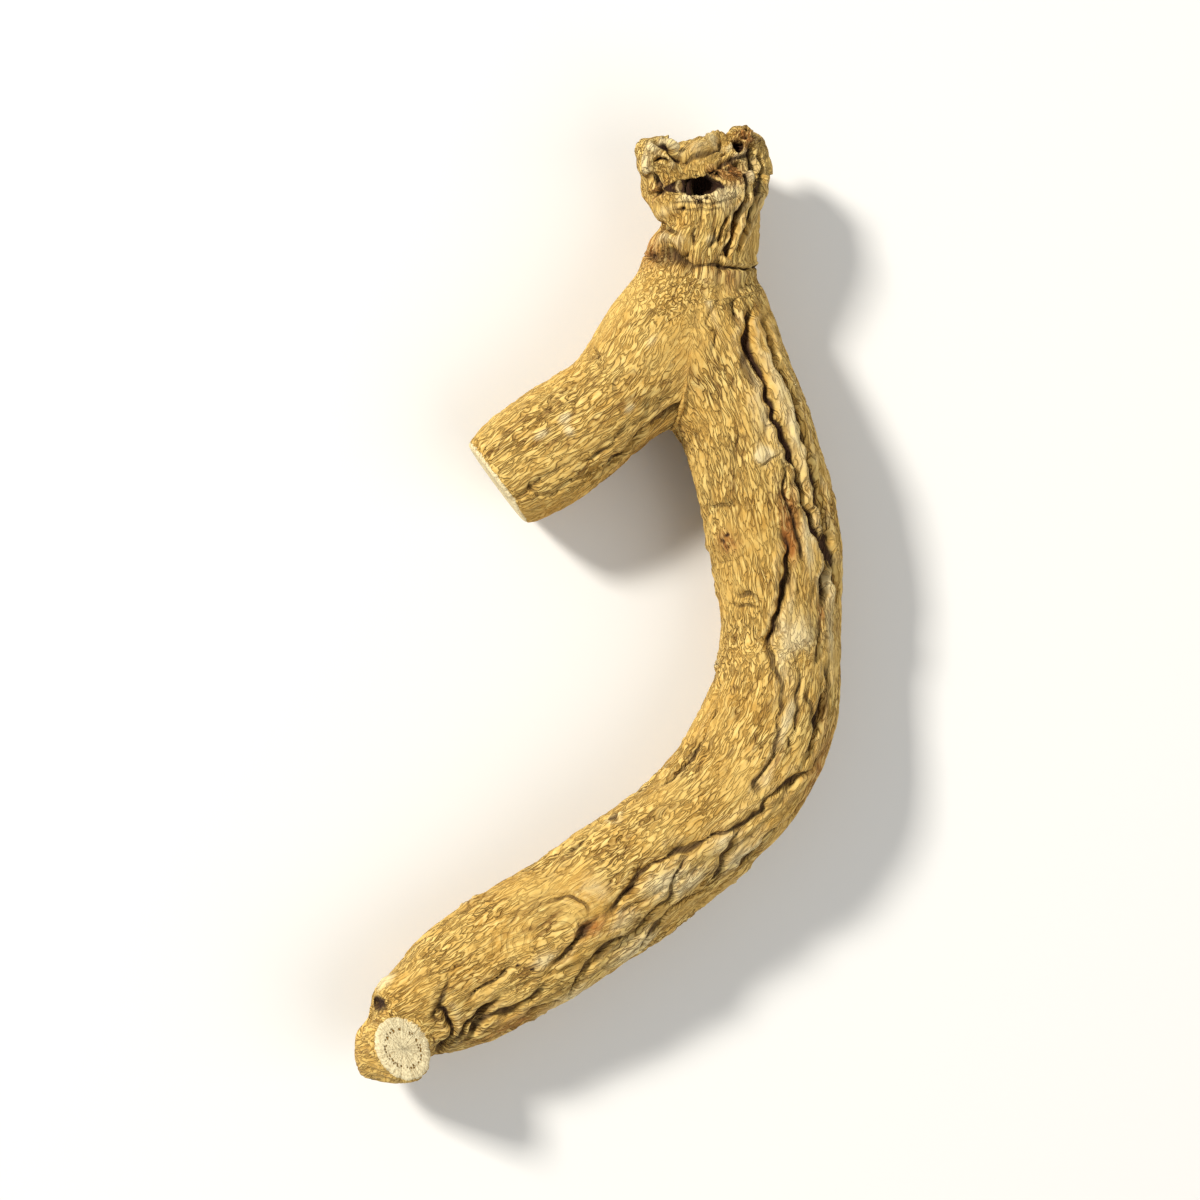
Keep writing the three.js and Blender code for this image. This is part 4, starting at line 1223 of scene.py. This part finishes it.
    # The cut faces: rays from the middle, a ring of pored vessels, fine crumbs, and the skin's ragged rim.
    flat = add_node(tree, "VectorMath", {0: flow, 1: (1.0, 1.0, 0.0)}, operation="MULTIPLY")[0]
    reach = add_node(tree, "VectorMath", {0: flat}, operation="LENGTH")["Value"]
    heading = add_node(tree, "VectorMath", {0: flat}, operation="NORMALIZE")[0]
    ray = add_node(tree, "TexNoise", {"Vector": heading, "Scale": 9.0, "Detail": 2.0, "Roughness": 0.7})[0]
    ray = add_node(tree, "MapRange", {0: ray, 1: 0.45, 2: 0.75})[0]
    off_ring = add_node(tree, "Math", {0: reach, 1: VESSEL_RING * MM}, operation="SUBTRACT")[0]
    off_ring = add_node(tree, "Math", {0: off_ring, 1: VESSEL_RING_WIDTH * MM}, operation="DIVIDE")[0]
    off_ring = add_node(tree, "Math", {0: off_ring, 1: off_ring}, operation="MULTIPLY")[0]
    vessels = add_node(tree, "MapRange", {0: off_ring, 1: 0.0, 2: 1.0, 3: 1.0, 4: 0.0})[0]
    pores = add_node(tree, "TexVoronoi", {"Vector": flow, "Scale": CELLS["pore"] / MM})["Distance"]
    pores = add_node(tree, "MapRange", {0: pores, 1: 0.3, 2: 0.5, 3: 1.0, 4: 0.0})[0]
    vessels = add_node(tree, "Math", {0: vessels, 1: pores}, operation="MULTIPLY")[0]
    flesh = add_node(tree, "Math", {0: ray, 1: 0.4, 2: vessels}, operation="MULTIPLY_ADD")[0]
    rim = add_node(tree, "Math", {0: rag, 1: 0.9, 2: layer["cut_face"]}, operation="MULTIPLY_ADD")[0]
    rim = add_node(tree, "MapRange", {0: rim, 1: 0.75, 2: 1.0}, interpolation_type="SMOOTHSTEP")[0]
    crumb = add_node(tree, "MapRange", {0: grain, 1: 0.45, 2: 0.7, 3: 0.0, 4: 0.4})[0]
    flesh = add_node(tree, "Math", {0: flesh, 1: crumb}, operation="ADD")[0]
    flesh = add_node(tree, "Math", {0: flesh, 1: rim}, operation="MULTIPLY")[0]

    # Colour: golden in soft patches, then pale, with a painted highlight on the furrows' lips, stained, a
    # painted highlight on the fine ridges, painted shade olive between them and brown in the creases, and
    # the darkest painted shade in the furrows, pits and hollows. The cut faces come last.
    patch = add_node(
        tree, "TexNoise",
        {"Vector": place, "Scale": CELLS["patch"] / MM, "Detail": 4.0, "Roughness": 0.6})[0]
    patch = add_node(tree, "MapRange", {0: patch, 1: 0.3, 2: 0.7})[0]
    colour = tuple(colours.light_skin)
    valley_share = add_node(tree, "Math", {0: low["valley"], 1: 0.6}, operation="MULTIPLY")[0]
    crest_share = add_node(tree, "Math", {0: low["crest_highlight"], 1: 0.75}, operation="MULTIPLY")[0]
    for share, shade in (
        (patch, colours.skin), (ragged["pale_and_lip_highlight"], colours.pale_and_lip_highlight), (ragged["stain"], colours.stain),
        (crest_share, colours.crest_highlight), (valley_share, colours.valley), (low["crease"], colours.crease),
        (ragged["painted_shade"], colours.furrow_shade), (core, colours.furrow_shade), (rim, colours.flesh),
        (flesh, colours.valley),
    ):
        colour = add_node(tree, "Mix", {0: share, 6: colour, 7: tuple(shade)}, data_type="RGBA")[2]

    # Relief finer than the mesh: the same valleys and creases, and a fine grain.
    depth = add_node(tree, "Math", {0: low["crease"], 1: 0.6, 2: low["valley"]}, operation="MULTIPLY_ADD")[0]
    depth = add_node(tree, "Math", {0: core, 1: 1.2, 2: depth}, operation="MULTIPLY_ADD")[0]
    depth = add_node(tree, "Math", {0: depth, 1: flesh}, operation="ADD")[0]
    depth = add_node(tree, "Math", {0: depth, 1: -1.0}, operation="MULTIPLY")[0]
    height = add_node(tree, "Math", {0: grain, 1: 0.3, 2: depth}, operation="MULTIPLY_ADD")[0]
    bump = add_node(tree, "Bump", {"Height": height, "Distance": BUMP_DEPTH * MM, "Strength": 1.0})[0]
    surface = add_node(tree, "BsdfPrincipled", {
        "Base Color": colour, "Normal": bump, "Roughness": 0.8, "Specular IOR Level": 0.25})
    add_node(tree, "OutputMaterial", {"Surface": surface[0]})
    return material


def add_layer(mesh, name, values):
    """Stores one value or one vector a vertex under this name."""
    kind = "FLOAT" if values.ndim == 1 else "FLOAT_VECTOR"
    layer = mesh.attributes.new(name, kind, "POINT")
    layer.data.foreach_set("value" if kind == "FLOAT" else "vector", values.astype(np.float32).ravel())


def flow_of(place, radius):
    """The limb straightened out, in metres: across it as it is, and along it as it is over the crown and
    squeezed further on, so that a noise read there runs along the limb."""
    along, angle, reach = place.along, place.angle, place.reach
    slow = np.minimum(along, FLOW_START) + np.maximum(along - FLOW_START, 0) / FLOW_STRETCH
    return np.stack([radius * reach * np.cos(angle), radius * reach * np.sin(angle), slow], axis=1) * MM


class GINSENG_OT_root(bpy.types.Operator):
    """Make the root: limbs joined in one skin, then furrowed and wrinkled"""

    bl_idname = "ginseng.root"
    bl_label = "Root"

    def execute(self, context):
        shape = context.scene.ginseng_shape
        mesh = blended_skin(shape)
        points = points_of(mesh)
        places = [limb.locate(points) for limb in LIMBS]
        main, leg, tip = places
        share = limb_shares(places)
        apart = np.abs(main.gap - leg.gap)
        corner = crotch_corner(main, leg)
        fillet = CROTCH_FILL * dip(apart, CROTCH_REACH) * corner
        points += fillet[:, None] * normals_of(mesh)
        set_points(mesh, points)
        normals = normals_of(mesh)

        looks = [
            limb_relief(points, place, radius, *look)
            for place, radius, look in zip(places, RADII, LIMB_LOOKS)
        ]
        root, branch = looks[:2]
        add_bulges(root, main.along, main.angle)
        root.pale_and_lip_highlight += spotted(PALE_PATCHES, main.along, main.angle, RADII[0])
        branch.pale_and_lip_highlight += spotted(LEG_PATCHES, leg.along, leg.angle, RADII[1])
        add_whorl(root, main.along, main.angle)
        add_scars(root, main.along, main.angle)
        root.stain += spotted(STAINS, main.along, main.angle, RADII[0])
        knobby = 1 - smooth_step(main.along, *KNOBS_END)
        root.raised += 0.2 * knobby * wave_sum(KNOBS, main.along, main.angle)
        add_crown(root, main.along, points, normals)
        look = blended_look(looks, share)

        # Relief is calm where the root is pressed or cut, and in the depth of the crotch.
        face = cut_faces(places, share)
        pressed = pressed_skin(main.along, main.angle) * share[0]
        calm = (1 - pressed) * (1 - face) * (1 - 0.75 * dip(apart, 0.7) * corner)
        strength = np.clip(0.9 + 0.22 * wave_sum(PATCHES, main.along, main.angle), 0.55, 1.2) * calm
        strength *= (1 + 0.1 * knobby) * (1 - 0.4 * np.clip(look.pale_and_lip_highlight, 0, 1))
        broken = smooth_step(wave_sum(BREAKS, main.along, main.angle), -0.3, 0.7)
        broken = np.maximum(broken, 0.4 * knobby)
        relief = look.raised * calm
        relief -= strength * broken * shape.wrinkle_depth / MM * crease(look.wrinkle, WRINKLE_WIDTH)
        relief -= strength * shape.crinkle_depth / MM * crease(look.crinkle, CRINKLE_WIDTH)
        points += relief[:, None] * normals
        points[:, 2] = np.maximum(points[:, 2], 0)
        points[:, :2] += HOME
        set_points(mesh, kept_in_box(points) * MM)

        branch_flows = [flow_of(place, radius) for place, radius in zip((leg, tip), RADII[1:])]
        stored = {
            "wrinkle": look.wrinkle,
            "crinkle": look.crinkle,
            "strength": strength,
            "broken": broken,
            # Painted shade of the furrows, folds, pits and hollows.
            "painted_shade": np.clip(look.painted_shade * calm, 0, 1),
            # Real pale skin, with the painted highlight on the furrows' lips.
            "pale_and_lip_highlight": np.clip(0.75 * look.pale_and_lip_highlight, 0, 1),
            "stain": np.clip(look.stain, 0, 1),
            "seam": look.seam,
            # Painted shade in the furrows' cores.
            "core": look.core * calm,
            "whorl": look.whorl,
            "whorl_reach": look.whorl_reach,
            "branch": share[1] + share[2],
            "cut_face": face,
            "main_flow": flow_of(main, RADII[0]),
            "branch_flow": np.where((share[1] > share[2])[:, None], *branch_flows),
        }
        for name, values in stored.items():
            add_layer(mesh, name, values)
        piece = bpy.data.objects.new("dried_ginseng_root", mesh)
        context.scene.collection.objects.link(piece)
        mesh.materials.clear()
        mesh.materials.append(dried_skin(context.scene.ginseng_colours))
        mesh.shade_smooth()
        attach(piece, "root")
        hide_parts("ginseng_root")
        return {"FINISHED"}


def aimed(name, data, spot):
    """A lamp or camera at a spot that looks at the root, with the crown's side up in its view."""
    thing = bpy.data.objects.new(name, data)
    back = (Vector(spot) - Vector(LOOK_AT)).normalized()
    right = Vector((0, 1, 0)).cross(back).normalized()
    turned = Matrix((right, back.cross(right), back)).transposed()
    thing.location = spot
    thing.rotation_euler = turned.to_euler()
    bpy.context.scene.collection.objects.link(thing)
    return thing


def area_light(name, spot, size, power, colour):
    """A soft square lamp that shines at the root."""
    lamp = bpy.data.lights.new(name, "AREA")
    lamp.size = size
    lamp.energy = power
    lamp.color = colour
    return aimed(name, lamp, spot)


class GINSENG_OT_stage(bpy.types.Operator):
    """Make the pale table, the lights and the camera"""

    bl_idname = "ginseng.stage"
    bl_label = "Stage"

    def execute(self, context):
        scene = context.scene
        corners = TABLE_HALF * np.array([(-1, -1, 0), (1, -1, 0), (1, 1, 0), (-1, 1, 0)])
        table = new_object("pale_table", corners, [(0, 1, 2, 3)])
        material = bpy.data.materials.new("matt_white_paper")
        material.use_nodes = True
        shader = material.node_tree.nodes["Principled BSDF"]
        shader.inputs["Base Color"].default_value = linear(TABLE_COLOUR)
        shader.inputs["Roughness"].default_value = 0.9
        table.data.materials.append(material)
        for lamp in LAMPS:
            area_light(*lamp)
        world = bpy.data.worlds.new("studio")
        world.use_nodes = True
        sky = world.node_tree.nodes["Background"]
        sky.inputs["Color"].default_value = linear(SKY_COLOUR)
        sky.inputs["Strength"].default_value = SKY_STRENGTH
        scene.world = world
        lens = bpy.data.cameras.new("photo_viewpoint")
        lens.sensor_width = SENSOR_WIDTH
        lens.lens = FOCAL_LENGTH
        scene.camera = aimed("photo_viewpoint", lens, CAMERA_SPOT)
        scene.view_settings.view_transform = "Standard"
        return {"FINISHED"}


class GINSENG_PT_panel(bpy.types.Panel):
    """The sidebar panel with the sizes, the colours and the two buttons"""

    bl_label = "Dried Ginseng Root"
    bl_idname = "GINSENG_PT_panel"
    bl_space_type = "VIEW_3D"
    bl_region_type = "UI"
    bl_category = "Ginseng"

    def draw(self, context):
        layout = self.layout
        for name in RootShape.__annotations__:
            layout.prop(context.scene.ginseng_shape, name)
        for name in RootColours.__annotations__:
            layout.prop(context.scene.ginseng_colours, name)
        layout.operator("ginseng.root")
        layout.operator("ginseng.stage")


CLASSES = (RootShape, RootColours, GINSENG_OT_root, GINSENG_OT_stage, GINSENG_PT_panel)


def register():
    """Registers the classes and hangs the settings on the scene."""
    for cls in CLASSES:
        bpy.utils.register_class(cls)
    bpy.types.Scene.ginseng_shape = PointerProperty(type=RootShape)
    bpy.types.Scene.ginseng_colours = PointerProperty(type=RootColours)


def unregister():
    """Takes the settings and the classes away again."""
    del bpy.types.Scene.ginseng_colours
    del bpy.types.Scene.ginseng_shape
    for cls in reversed(CLASSES):
        bpy.utils.unregister_class(cls)


def main():
    register()
    bpy.ops.ginseng.root()
    bpy.ops.ginseng.stage()
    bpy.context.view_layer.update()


if __name__ == "__main__":
    main()
